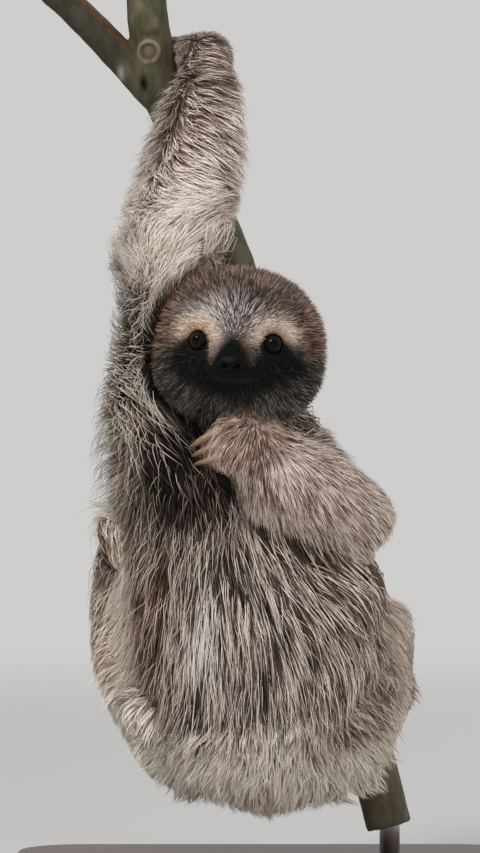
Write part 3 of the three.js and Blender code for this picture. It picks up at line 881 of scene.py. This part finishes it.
def lock_faces(steps):
    """The triangles of one lock: three corners to a ring, and one at the tip."""
    faces = [(0, 1, 2)]
    for ring in range(steps - 1):
        for j in range(3):
            a, b = 3 * ring + j, 3 * ring + (j + 1) % 3
            faces += [(a, b + 3, b), (a, a + 3, b + 3)]
    last = 3 * (steps - 1)
    return np.array(faces + [(last + (j + 1) % 3, last + j, last + 3) for j in range(3)])


def at_corners(rows):
    """Rows along each lock, repeated for the three corners of a ring, with one for the tip."""
    return np.concatenate([np.repeat(rows[:, :-1], 3, axis=1), rows[:, -1:]], 1)


class Locks:
    """A set of hair locks on some triangles of the skin."""

    def __init__(self, ground, chosen, per_cm2, steps):
        """chosen: triangle numbers; per_cm2: how many locks in a square centimetre each of them is due."""
        count = rng.poisson(per_cm2 * ground.area[chosen] * PER_CM2 * SHARE)
        self.root = np.repeat(chosen, count)
        self.total = len(self.root)
        self.ground, self.steps = ground, steps
        weights = rng.dirichlet((1, 1, 1), self.total)
        skin = ground.skin
        corners = ground.corners[self.root]
        self.start = (skin.places[corners] * weights[:, :, None]).sum(1)
        self.uv = (ground.uv[ground.loops[self.root]] * weights[:, :, None]).sum(1)
        self.look = (skin.look[corners] * weights[:, :, None]).sum(1)
        self.gap = (skin.gap[corners] * weights).sum(1)
        self.keep = (skin.keep[corners] * weights).sum(1)

    def vary(self, low, high):
        """A random number between these for each lock."""
        return rng.uniform(low, high, self.total)

    def gather(self, every):
        """Shares the locks out among leaders. near is 1 at a bundle's middle and 0 at its edge."""
        leaders = np.flatnonzero(rng.random(self.total) < 1 / every)
        self.leader = leaders[nearest_rows(self.start[leaders], self.start)]
        far = np.linalg.norm(self.start - self.start[self.leader], axis=1)
        self.near = 1 - np.clip(far / np.percentile(far, 85), 0, 1)
        self.tone = rng.normal(0, 1, self.total)[self.leader]

    def grow(self, length, height, stiff, lift, wander, fall, curly=0.35):
        """Marches each lock from its root along the lie, up to its height above the skin. Lengths in metres.

        fall is how steeply each lock may come down where the skin curves away from under it."""
        total, steps = self.total, self.steps
        step = length / steps
        normal, lie = self.ground.normal[self.root], self.ground.lie[self.root]
        sideways = np.cross(normal, lie)
        drift = wavy(self.start, 55, 3.1) * wander + rng.normal(0, wander * (0.3 + 0.4 * curly), (total, 3))
        heading = unit(lie + normal * lift[:, None] + sideways * drift[:, :1] + normal * drift[:, 1:2] * 0.3)
        place = self.start - normal * ROOT_DEPTH
        path = [place]
        curl = rng.normal(0, 1, (total, 3)) * wander * curly
        for number in range(1, steps + 1):
            place = place + heading * step[:, None]
            path.append(place)
            if number == steps:
                break
            index, above = self.ground.under(place)
            normal, lie = self.ground.normal[index], self.ground.lie[index]
            sideways = np.cross(normal, lie)
            goal = height * min(1.0, 0.45 + 0.55 * number / (steps - 1))
            rise = np.clip((goal - above) / step, -fall, 0.8)
            along = unit(lie + sideways * (drift[:, :1] - curl[:, :1] * number))
            heading = unit(heading * stiff + along * (1 - stiff))
            out = (heading * normal).sum(1, keepdims=True) * np.minimum(0.6, fall)[:, None]
            heading = unit(heading - normal * out + normal * rise[:, None])
        self.path = np.stack(path, 1)
        self.up = self.facing = self.ground.normal[self.root]

    def clump(self, pull):
        """Draws each lock towards its bundle's leader, most at its tip."""
        share = (np.linspace(0, 1, self.steps + 1) ** 1.4)[None, :, None] * pull[:, None, None]
        self.path = self.path + (self.path[self.leader] - self.path) * share

    def choose(self, dark_share=0.3, variety=0.16):
        """Makes each lock dark, middling or light, by the light share of its place."""
        chance = rng.random(self.total)
        streak = streaks(self.start)
        bundle = (0.55 + 0.8 * self.near) * np.exp(0.35 * self.tone)
        light_share = np.clip(self.look[:, 9] * (1 + 0.8 * streak) * bundle, 0, 0.9)
        self.light = np.where(chance > 1 - light_share, self.vary(0.7, 1), 0)
        self.pale = ramp(self.look[:, 9], 0.42, 0.72)
        dark_share = dark_share * (1 - 0.7 * streak) / bundle * (1 - 0.6 * self.pale)
        self.dark = np.where(chance < dark_share, self.vary(0.5, 1), 0)
        mixed = rng.random(self.total) * 0.6 + self.near * 0.35
        self.spread = np.clip(mixed + self.light * 0.2 - self.dark * 0.25, 0, 1.05)
        gain = np.exp(rng.normal(0, variety, (self.total, 1))) * (0.78 + 0.32 * self.spread[:, None])
        self.gain = np.maximum(gain, (self.light > 0)[:, None])

    def shade(self, t):
        """The locks' colour at t, from 0 at the root to 1 at the tip."""
        dark, middle, light = self.look[:, :3], self.look[:, 3:6], self.look[:, 6:9]
        plain = mix(dark, middle, np.full(self.total, min(0.25 + t * 1.3, 1)))
        plain = mix(plain, light, np.full(self.total, 0.22 * max(t - 0.5, 0)))
        plain = mix(plain, dark, self.dark * 0.85)
        return mix(plain, light, self.light * min(0.3 + t * 1.1, 1)) * self.gain

    def mesh(self, name, width):
        """The locks as closed, tapering, three-sided solids."""
        total, steps = self.total, self.steps
        tangent = unit(np.gradient(self.path, axis=1))
        side = unit(np.cross(tangent, self.up[:, None, :] + 1e-6))
        upward = np.cross(side, tangent)
        reach = np.linspace(0, 1, steps + 1)[:-1]
        thick = (0.8 + 0.35 * np.sin(np.pi * reach**0.7)) * (1 - reach**1.6)
        half = width[:, None] / 2 * thick[None, :]
        angles = np.radians([30, 150, 270])
        rings = (
            self.path[:, :-1, None, :]
            + side[:, :-1, None, :] * (half[:, :, None] * np.cos(angles) * LOCK_ACROSS)[..., None]
            + upward[:, :-1, None, :] * (half[:, :, None] * np.sin(angles) * LOCK_THICK)[..., None]
        )
        per = 3 * steps + 1
        vertices = np.concatenate([rings.reshape(total, 3 * steps, 3), self.path[:, -1:]], 1)
        faces = (lock_faces(steps)[None] + (np.arange(total) * per)[:, None, None]).reshape(-1, 3)

        made = bpy.data.meshes.new(name)
        made.vertices.add(total * per)
        made.vertices.foreach_set("co", vertices.ravel())
        made.loops.add(len(faces) * 3)
        made.loops.foreach_set("vertex_index", faces.ravel())
        made.polygons.add(len(faces))
        made.polygons.foreach_set("loop_start", np.arange(len(faces)) * 3)
        made.polygons.foreach_set("loop_total", np.full(len(faces), 3))
        made.update()

        along = np.linspace(0, 1, steps + 1)
        colours = at_corners(np.stack([self.shade(t) for t in along], 1))
        colours = colours * np.minimum(1, BRIGHTEST / colours.max(axis=2, keepdims=True))
        paint(made, np.maximum(colours, DARKEST).reshape(-1, 3))

        own = unit(vertices - at_corners(self.path))
        normals = unit(own * ROUNDNESS + self.facing[:, None, :])
        made.shade_smooth()
        made.normals_split_custom_set_from_vertices(normals.reshape(-1, 3).tolist())

        across = np.concatenate([np.tile([0.0, 1.0, 0.5], steps), [0.5]]) - 0.5
        down = np.concatenate([np.repeat(along[:-1], 3), [1.0]]) - 0.5
        patch = np.stack([across, down], 1) * PATCH
        uv = (self.uv[:, None, :] + patch[None]).reshape(-1, 2)
        layer = made.uv_layers.new(name="OFBake")
        layer.data.foreach_set("uv", uv[faces.ravel()].ravel())
        return made


def show_coat(name, mesh, hair):
    """Puts a coat piece in the scene."""
    placed(shown(name, mesh, hair, smooth=False), "coat")
    print(name, len(mesh.polygons), "triangles")


def add_coat(
    ground, hair, name, labels, steps, part=None, more=1, dark=0.3, every=9, pull=0.6,
    stiff=0.5, lift=0.25, wander=0.25, curly=0.35, fall=0.5, higher=1,
):
    """One coat piece over the triangles with these labels, or the part of them that part(middles) picks.

    more and higher are factors of the locks' number and height. every is how many locks make a bundle, and
    pull how far they draw together. For the rest, see Locks."""
    picked = on(ground.labels, *labels)
    if part:
        picked &= part(ground.middle)
    picked = np.flatnonzero(picked)
    dense = DENSE[ground.labels[picked]] * (1 - 0.4 * ramp(ground.normal[picked, 1], 0.0, 0.6))
    locks = Locks(ground, picked, dense * more, steps)
    own = ground.labels[locks.root]
    locks.gather(every)
    locks.choose(dark)
    length = LENGTH[own] * locks.vary(0.65, 1.2) * MM * locks.keep
    low = 0.30 + 0.4 * locks.pale
    x, _, z = locks.start.T / MM
    gap = np.maximum(locks.gap, LEAST_HEIGHT) + 5 * bell(x, 62, 9) * bell(z, 178, 9) * MM
    height = gap * (low + (1 - low) * locks.spread) * higher
    loose = fringe_share(locks.start)
    lift = lift + 0.45 * rng.random(locks.total) + 0.5 * loose
    locks.grow(length, height, stiff, lift, wander, fall * (1 - 0.75 * loose), curly)
    locks.facing = unit(locks.up + np.outer(np.maximum(loose, locks.pale), (-0.1, -0.7, 0.35)))
    locks.clump(np.clip(pull * locks.vary(0.3, 1.1), 0, 0.95))
    behind = 1 + 0.25 * ramp(ground.normal[locks.root, 1], 0.0, 0.6)
    width = WIDTH[own] * locks.vary(0.7, 1.3) * behind
    width = width * (0.92 + 0.25 * (locks.light > 0)) * (1 + 0.3 * locks.pale) * MM
    show_coat(name, locks.mesh(name, width), hair)


# Where single long hairs lie loose over the coat: the middle and the spread of the place in x and z, the
# hairs in a square centimetre, and the shortest and longest, in mm
CURLY_HAIR = [
    ((-86, 300), (26, 40), 16, (22, 42)),
    ((-84, 378), (22, 30), 16, (14, 30)),
    ((-92, 250), (12, 26), 9, (20, 34)),
    ((-92, 140), (8, 20), 3, (13, 22)),
    ((-84, 186), (7, 40), 13, (12, 24)),
]
STRAIGHT_HAIR = [
    ((-30, 215), (50, 22), 4, (22, 40)),
    ((-34, 244), (24, 16), 3, (20, 36)),
    ((-5, 140), (60, 50), 3, (20, 36)),
    ((-10, 75), (80, 22), 7, (12, 22)),
]


def add_loose_hair(ground, hair, name, places, wander, curly, pale, thick):
    """Fine, long, single hairs over the coat, tan in the armpit and pale elsewhere."""
    x, y, z = ground.middle.T / MM
    near = on(ground.labels, *TRUNK, "upper_arm_right", "forearm_right", "thigh_right") * ramp(y, 28, 8)
    due, least, most = np.zeros((3, len(x)))
    for centre, size, dense, (short, long) in places:
        share = near * spot(x, z, centre, size) * dense
        due, least, most = due + share, least + share * short, most + share * long
    picked = np.flatnonzero(due > 0.3)
    locks = Locks(ground, picked, due[picked], 6)
    locks.gather(5)
    locks.choose(0, 0.12)
    locks.light[:] = 1
    locks.gain = np.clip(locks.gain, 0.85, 1.1)
    at, height = locks.start[:, 0] / MM + rng.normal(0, 7, locks.total), locks.start[:, 2] / MM
    tan = bell(at, -46, 26) * ramp(height, 345, 325) * ramp(height, 205, 225)
    tan = np.maximum(tan, rng.random(locks.total) * (1 - pale) * ramp(height, 85, 105))
    locks.look[:, 6:9] = layered(srgb((255, 244, 230))[None], srgb, ((164, 136, 117), tan))
    length = rng.uniform(least[locks.root], most[locks.root]) / due[locks.root] * MM
    rise = locks.gap * locks.vary(1.0, 1.4)
    locks.grow(length, rise, 0.72, locks.vary(0.3, 1.0), wander, np.full(locks.total, 0.3), curly)
    show_coat(name, locks.mesh(name, thick * locks.vary(0.75, 1.25) * MM), hair)


def add_head_coat(ground, hair, name, part, per_cm2):
    """The head's short hair, shortest round the nose and eyes."""

    def closeness(places):
        from_nose, from_eye = face_distances(places)
        return np.minimum(from_nose, from_eye * 1.6)

    picked = np.flatnonzero(on(ground.labels, "head") & part(ground.middle))
    from_nose, from_eye = face_distances(ground.middle[picked])
    x, y, z = head_mm(ground.middle[picked]).T
    on_mouth = (np.abs(z - mouth_height(x) + 0.4) < 1.1) & (np.abs(x) < 14.5) & (y < -10)
    picked = picked[(from_nose > 6.7) & (from_eye > 6.5) & ~on_mouth]
    dense = np.interp(closeness(ground.middle[picked]), [8, 20, 40, 70], per_cm2)
    locks = Locks(ground, picked, dense, 2)
    close = closeness(locks.start)
    locks.gather(3)
    locks.tone *= 0.5
    locks.choose(0.36, 0.2)
    length = np.interp(close, [8, 16, 30, 50, 80], [1.6, 2.8, 5.6, 8.0, 10.5])
    length = length * locks.vary(0.7, 1.25) * MM
    height = locks.gap * (0.4 + 0.85 * locks.spread)
    lift = 0.15 + 0.3 * locks.spread
    locks.grow(length, height, 0.45, lift, 0.24, np.full(locks.total, 0.8))
    locks.clump(np.full(locks.total, 0.18))
    width = np.interp(close, [8, 20, 40, 80], [0.25, 0.31, 0.36, 0.44]) * locks.vary(0.75, 1.25) * MM
    show_coat(name, locks.mesh(name, width), hair)


# ---- Eyes, nose and claws


def add_eyes():
    """Both eyeballs: a black pupil in a dark brown iris, and a cornea that stands out a little."""
    look = painted("eye_wet", 0.06, 0.14, (1500, 3), (0.8, 1.2))
    for side, name in ((1, "eye_left"), (-1, "eye_right")):
        mesh = ball("eyeball_" + name[4:], 48, 32)
        rows = coordinates(mesh)
        angle = np.degrees(np.arccos(np.clip(rows @ GAZE[side], -1, 1)))
        radius = EYE_RADIUS_MM * (0.985 + 0.02 * ramp(angle, 42, 20))
        set_coordinates(mesh, from_head(EYES_MM[side] + rows * radius[:, None]))
        iris, pupil = ((19, 14, 12), ramp(angle, 50, 40)), ((2, 2, 2), ramp(angle, 30, 25))
        # painted reflection: the band outside the iris is a little lighter than the iris, to even out where
        # the eye mirrors its dark lids
        paint(mesh, layered(srgb((24, 20, 18))[None], srgb, iris, pupil))
        placed(shown(mesh.name, mesh, look), "eye", name)


def add_nose():
    """The bare pad, with its two nostrils and the cleft between them."""
    mesh = ball("nose_pad", 72, 48)
    rows = coordinates(mesh)
    front = ramp(rows[:, 1], -0.1, -0.5)
    rows *= np.stack([7.7 * (1 + 0.12 * rows[:, 2]), np.full(len(rows), 4.7), np.full(len(rows), 5.2)], 1)
    x, z = rows[:, 0], rows[:, 2]
    nostril = spot(np.abs(x) - 3.7 - 0.25 * z, z, (0, -1.4), (1.55, 1.1))
    rows[:, 1] += 2.4 * np.clip(nostril * 1.35, 0, 1) * front
    rows[:, 1] -= 0.5 * spot(np.abs(x), z, (5.6, -1.1), (1.1, 1.9)) * front
    rows[:, 1] += 0.5 * bell(x, 0, 0.7) * ramp(z, 2, -1) * front
    set_coordinates(mesh, from_head(rows + NOSE_MM))
    placed(shown("nose_pad", mesh, nose_material()), "nose", "nose")


def add_claws():
    """Each claw of the frame, smoothed, pale at the root and brown towards its tip."""
    look = painted("claw_horn", 0.38, 0.5, (500, 4, (1, 1, 0.25)), (0.82, 1.1), bump=(0.0002, 0.5))
    for name in sorted(n for n in nodes if n.startswith("claw_")):
        limb = "foot" if "foot" in name else "hand"
        owner = f"{limb}_{name.split('_')[2]}"
        work = welded(name)
        bmesh.ops.dissolve_limit(work, angle_limit=0.02, verts=work.verts, edges=work.edges)
        mesh = finished(work, "horn_" + name[5:])
        piece = shown(mesh.name, mesh)
        modifier = piece.modifiers.new("round", "SUBSURF")
        modifier.levels = modifier.render_levels = 2
        smooth = with_modifiers(piece)
        smooth.name = mesh.name + "_smooth"
        piece.modifiers.clear()
        piece.data = smooth
        places = coordinates(smooth)
        places = places + vertex_normals(smooth) * 0.0004
        set_coordinates(smooth, places)
        far = np.linalg.norm(places - centre_of(owner), axis=1)
        share = (far - far.min()) / (far.max() - far.min())
        middle, tip = ((158, 130, 100), ramp(share, 0.3, 0.75)), ((98, 78, 62), ramp(share, 0.75, 1.0))
        paint(smooth, layered(srgb((190, 170, 142))[None], srgb, middle, tip))
        smooth.materials.append(look)
        smooth.shade_smooth()
        placed(piece, "claw", name)


# ---- Perch and stand

KNOT = np.array([-0.0708, 0.017, 0.484])  # a pruned twig's healed stump, in front of the fork
SLOT = np.array([-0.0735, 0.018, 0.465])  # the cleft in the crotch under it, painted dark as its shade
LEAF_SCARS = (0.108, 0.196, 0.331, 0.421)  # heights of old leaf scars


def add_perch():
    """The forked stem as one piece of wood: bark, leaf scars, a healed stump, a cleft, moss, sawn ends."""
    mesh = fused(["perch_stem", "perch_branch"], 0.0003, 0.0013)
    set_coordinates(mesh, relaxed(coordinates(mesh), edge_pairs(mesh), 8, 0.5))
    subdivided_round(mesh, [(tuple(KNOT - (0, 0.002, 0.008)), 0.018)])
    places, normals = coordinates(mesh), vertex_normals(mesh)
    rough = wavy(places * (1, 1, 0.35), 160, 5.0)[:, 0]
    swell = wavy(places, 28, 9.0)[:, 1]
    blot = wavy(places * (1, 1, 0.6), 70, 21.0)[:, 2]
    scars = sum(bell(places[:, 2] + 0.003 * swell, height, 0.0016) for height in LEAF_SCARS)
    scars = scars * ramp(blot, -0.25, 0.2)
    in_front = ramp(normals[:, 1], -0.15, -0.5)
    off = (places - KNOT) / MM
    from_knot = np.hypot(off[:, 0], off[:, 2] * 0.92)
    knot = 1.3 * bell(from_knot, 5.6, 1.5) + 0.9 * ramp(from_knot, 6.0, 4.2)
    knot = (knot - 0.5 * bell(from_knot, 3.3, 0.8)) * in_front
    gap = (places - SLOT) / MM
    slot = spot(gap[:, 0], gap[:, 2], (0, 0), (1.9, 4.6)) * in_front
    rise = rough * 0.45 + swell * 0.7 + scars * 0.6 + knot - 3.2 * slot
    places = places + normals * rise[:, None] * MM
    set_coordinates(mesh, places)
    x, _, z = places.T / MM
    branch = ramp(x, -76, -88) * ramp(z, 440, 455)
    lichen = bell(x, -87, 2.2) * bell(z, 471, 4.5) * in_front * ramp(blot, -0.4, 0.1)
    sawn = ramp(np.abs(normals[:, 2]), 0.80, 0.93) * np.maximum(ramp(z, 519, 521.5), ramp(z, 36, 33.5))
    colours = layered(
        srgb((98, 91, 74))[None],
        srgb,
        ((80, 77, 55), ramp(swell, -0.35, 0.35)),
        ((72, 62, 48), scars * 0.8 + ramp(rough, 0.1, 0.5) * 0.45),
        ((120, 114, 98), ramp(blot, 0.22, 0.42) * 0.6),
        ((50, 48, 36), branch * 0.85),
        ((84, 54, 40), branch * ramp(normals[:, 2] + normals[:, 0] * 0.5, 0.2, 0.7)),
        ((150, 150, 138), lichen),
        ((104, 92, 72), ramp(from_knot, 6.5, 4.5) * in_front),
        ((146, 134, 112), bell(from_knot, 5.8, 0.9) * in_front * 0.8),
        ((70, 60, 46), bell(from_knot, 3.4, 0.9) * in_front * 0.8),
        ((74, 86, 40), bell(x, -69.8, 1.8) * bell(z, 473, 5.0) * in_front * 1.1),
        # painted shade inside the cleft
        ((20, 17, 15), slot * 1.4),
        ((196, 170, 126), sawn),
    )
    paint(mesh, colours)
    bark = painted(
        "stem_bark", 0.78, 0.3, (260, 8, (1, 1, 0.35)), (0.72, 1.22), (0.0007, 0.8), (900, 4, (1, 1, 0.5))
    )
    placed(shown("perch_wood", mesh, bark), "bark", "perch_stem", "perch_branch")


def stacked(name, profile, degrees, place):
    """A closed solid through rings, from the lowest up, with a corner every so many degrees.

    place(turn, *row) gives the corner at this turn on the ring of a row of the profile."""
    work = bmesh.new()
    turns = np.radians(np.arange(0, 360, degrees))
    loops = [[work.verts.new(place(turn, *row)) for turn in turns] for row in profile]
    for lower, upper in zip(loops, loops[1:]):
        for i in range(len(turns)):
            j = (i + 1) % len(turns)
            work.faces.new((lower[i], lower[j], upper[j], upper[i]))
    work.faces.new(loops[-1])
    work.faces.new(list(reversed(loops[0])))
    return finished(work, name)


def add_base():
    """The flat wooden base with rounded corners and edges."""
    low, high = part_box("stand_base")
    corner, edge = 0.040, 0.003
    profile = [(edge * 0.4, low.z), (0, low.z + edge * 0.4)]
    for angle in np.radians(np.arange(0, 91, 15)):
        profile.append((edge * (1 - math.cos(angle)), high.z - edge + edge * math.sin(angle)))

    def place(turn, inset, z):
        c, s = math.cos(turn), math.sin(turn)
        centre_x = (high.x - corner) * (1 if c > 1e-9 else -1)
        centre_y = (high.y - corner) * (1 if s > -1e-9 else -1)
        return centre_x + (corner - inset) * c, centre_y + (corner - inset) * s, z

    mesh = stacked("base_board", profile, 3.75, place)
    piece = shown("base_board", mesh, wood_material())
    for face in mesh.polygons:
        face.use_smooth = len(face.vertices) < 5
    placed(piece, "base_wood", "stand_base")


def add_rod():
    """The steel rod, turned smooth."""
    low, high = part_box("stand_rod")
    centre = (low + high) / 2
    radius = (high.x - low.x) / 2
    foot = [(radius - 0.0004, low.z), (radius, low.z + 0.0004)]
    top = [(radius, high.z - 0.001), (radius - 0.001, high.z)]

    def place(turn, r, z):
        return centre.x + r * math.cos(turn), centre.y + r * math.sin(turn), z

    mesh = stacked("rod", foot + top, 7.5, place)
    placed(shown("rod", mesh, steel_material()), "rod_steel", "stand_rod")


# ---- Floor and light

DISTANCE_TONE = (0.62, 0.615, 0.605, 1)  # linear
FLOOR_RADIUS = 60
WORLD_LIGHT = 0.44
LAMPS_AIM = Vector((-0.01, -0.02, 0.27))


def seen_ray(tree):
    """A socket that is 1 for what the camera sees, straight on or through glass."""
    ray = add_node(tree, "ShaderNodeLightPath")
    either = add_node(tree, "ShaderNodeMath", operation="MAXIMUM")
    wire(
        tree,
        (ray.outputs["Is Camera Ray"], either.inputs[0]),
        (ray.outputs["Is Transmission Ray"], either.inputs[1]),
    )
    return either.outputs[0]


def blended(tree, share, near, far, output):
    """Gives the output the near shader where share is 0 and the far one where it is 1."""
    blend = add_node(tree, "ShaderNodeMixShader")
    wire(
        tree,
        (share, blend.inputs[0]),
        (near.outputs[0], blend.inputs[1]),
        (far.outputs[0], blend.inputs[2]),
        (blend.outputs[0], tree.nodes[output].inputs["Surface"]),
    )


def add_floor():
    """A wide pale floor that turns into the distance's tone."""
    mesh = bpy.data.meshes.new("floor")
    turns = np.radians(np.arange(0, 360, 5))
    ring = [(FLOOR_RADIUS * math.cos(t), FLOOR_RADIUS * math.sin(t), 0) for t in turns]
    mesh.from_pydata(ring, [], [list(range(len(ring)))])
    made, shader, tree = material("floor_pale", 0.9, Specular_IOR_Level=0.0, Base_Color=DISTANCE_TONE)
    glow = add_node(tree, "ShaderNodeEmission", Color=DISTANCE_TONE)
    place = add_node(tree, "ShaderNodeTexCoord")
    length = add_node(tree, "ShaderNodeVectorMath", operation="LENGTH")
    far = add_node(tree, "ShaderNodeMapRange", interpolation_type="SMOOTHSTEP", From_Min=0.5, From_Max=3.0)
    both = add_node(tree, "ShaderNodeMath", operation="MULTIPLY")
    wire(
        tree,
        (place.outputs["Object"], length.inputs[0]),
        (length.outputs["Value"], far.inputs["Value"]),
        (far.outputs["Result"], both.inputs[0]),
        (seen_ray(tree), both.inputs[1]),
    )
    blended(tree, both.outputs[0], shader, glow, "Material Output")
    shown("floor", mesh, made, smooth=False)


def add_world():
    """Soft white light, with a distance in the floor's tone."""
    world = bpy.data.worlds.new("soft")
    bpy.context.scene.world = world
    world.use_nodes = True
    tree = world.node_tree
    light = tree.nodes["Background"]
    light.inputs["Color"].default_value = (1, 1, 1, 1)
    light.inputs["Strength"].default_value = WORLD_LIGHT
    distance = add_node(tree, "ShaderNodeBackground", Color=DISTANCE_TONE, Strength=1)
    blended(tree, seen_ray(tree), light, distance, "World Output")


def add_lamp(name, place, size, power, glossy=True):
    """A soft lamp aimed at the animal."""
    lamp = bpy.data.lights.new(name, "AREA")
    lamp.shape = "DISK"
    lamp.size = size
    lamp.energy = power
    piece = bpy.data.objects.new(name, lamp)
    piece.location = place
    piece.rotation_euler = (LAMPS_AIM - Vector(place)).to_track_quat("-Z", "Y").to_euler()
    piece.visible_glossy = glossy
    piece.visible_camera = False
    bpy.context.scene.collection.objects.link(piece)


# ---- The whole


def on_face(middles):
    """Which triangles of the head are in front."""
    return head_mm(middles)[:, 1] < 12


def on_crown(middles):
    """The reverse of on_face."""
    return ~on_face(middles)


def in_front(middles):
    """Which triangles of the trunk are before its widest line."""
    return middles[:, 1] < -0.008


def behind(middles):
    """The reverse of in_front."""
    return ~in_front(middles)


STRAIGHT = dict(wander=0.2, every=11, pull=0.78, stiff=0.65, lift=0.15)
FRINGE = dict(wander=0.55, every=11, pull=0.9, stiff=0.6, lift=0.35, curly=0.5, fall=0.3)
TANGLED = dict(wander=0.7, every=9, pull=0.5, stiff=0.6, lift=0.5, fall=0.3, higher=1.35, curly=0.5)
WRAPPED = dict(wander=0.42, every=11, pull=0.66, fall=0.3, higher=1.3)
LEFT_ARM = ["upper_arm_left", "forearm_left", "hand_left"]
SHINS = ["shin_right", "shin_left", "foot_right", "foot_left"]

bpy.context.scene.view_settings.view_transform = "Standard"
add_floor()
add_world()
add_lamp("key", (-1.0, -1.5, 2.2), 0.7, 33)
add_lamp("rim", (1.2, 1.4, 1.9), 0.9, 16)
add_lamp("front", (0.8, -2.2, 0.25), 1.5, 21, glossy=False)

skin = Skin()
skin.show()
both = (Ground(skin), painted("coat_hair", 0.66, 0.1, (900, 2), (0.9, 1.06)))
add_head_coat(*both, "coat_face", on_face, [540, 350, 205, 152])
add_head_coat(*both, "coat_crown", on_crown, [210, 166, 120, 84])
add_coat(*both, "coat_chest", ["torso_chest", "neck"], 3, wander=0.38, every=8, pull=0.6, stiff=0.6)
add_coat(*both, "coat_belly_front", ["torso_belly"], 3, in_front, dark=0.38, **STRAIGHT)
add_coat(*both, "coat_belly_back", ["torso_belly"], 3, behind, more=0.64, **STRAIGHT)
add_coat(*both, "coat_rump_front", ["torso_rump"], 3, in_front, **FRINGE)
add_coat(*both, "coat_rump_back", ["torso_rump", "tail"], 3, behind, more=0.68, **FRINGE)
add_coat(*both, "coat_right_arm", ["upper_arm_right"], 3, **TANGLED)
add_coat(*both, "coat_right_forearm", ["forearm_right"], 3, **WRAPPED)
add_coat(*both, "coat_right_hand", ["hand_right"], 2, **WRAPPED)
add_coat(*both, "coat_left_arm", LEFT_ARM, 2, wander=0.22, every=5, pull=0.4, more=0.92)
add_loose_hair(*both, "coat_strays", CURLY_HAIR, 0.42, 0.15, 1.0, 0.56)
add_loose_hair(*both, "coat_long_hairs", STRAIGHT_HAIR, 0.32, 0.2, 0.34, 0.44)
add_coat(*both, "coat_thighs", ["thigh_right", "thigh_left"], 2, wander=0.2, more=0.48)
add_coat(*both, "coat_shins", SHINS, 2, wander=0.2, more=0.85)

add_eyes()
add_nose()
add_claws()
add_perch()
add_base()
add_rod()
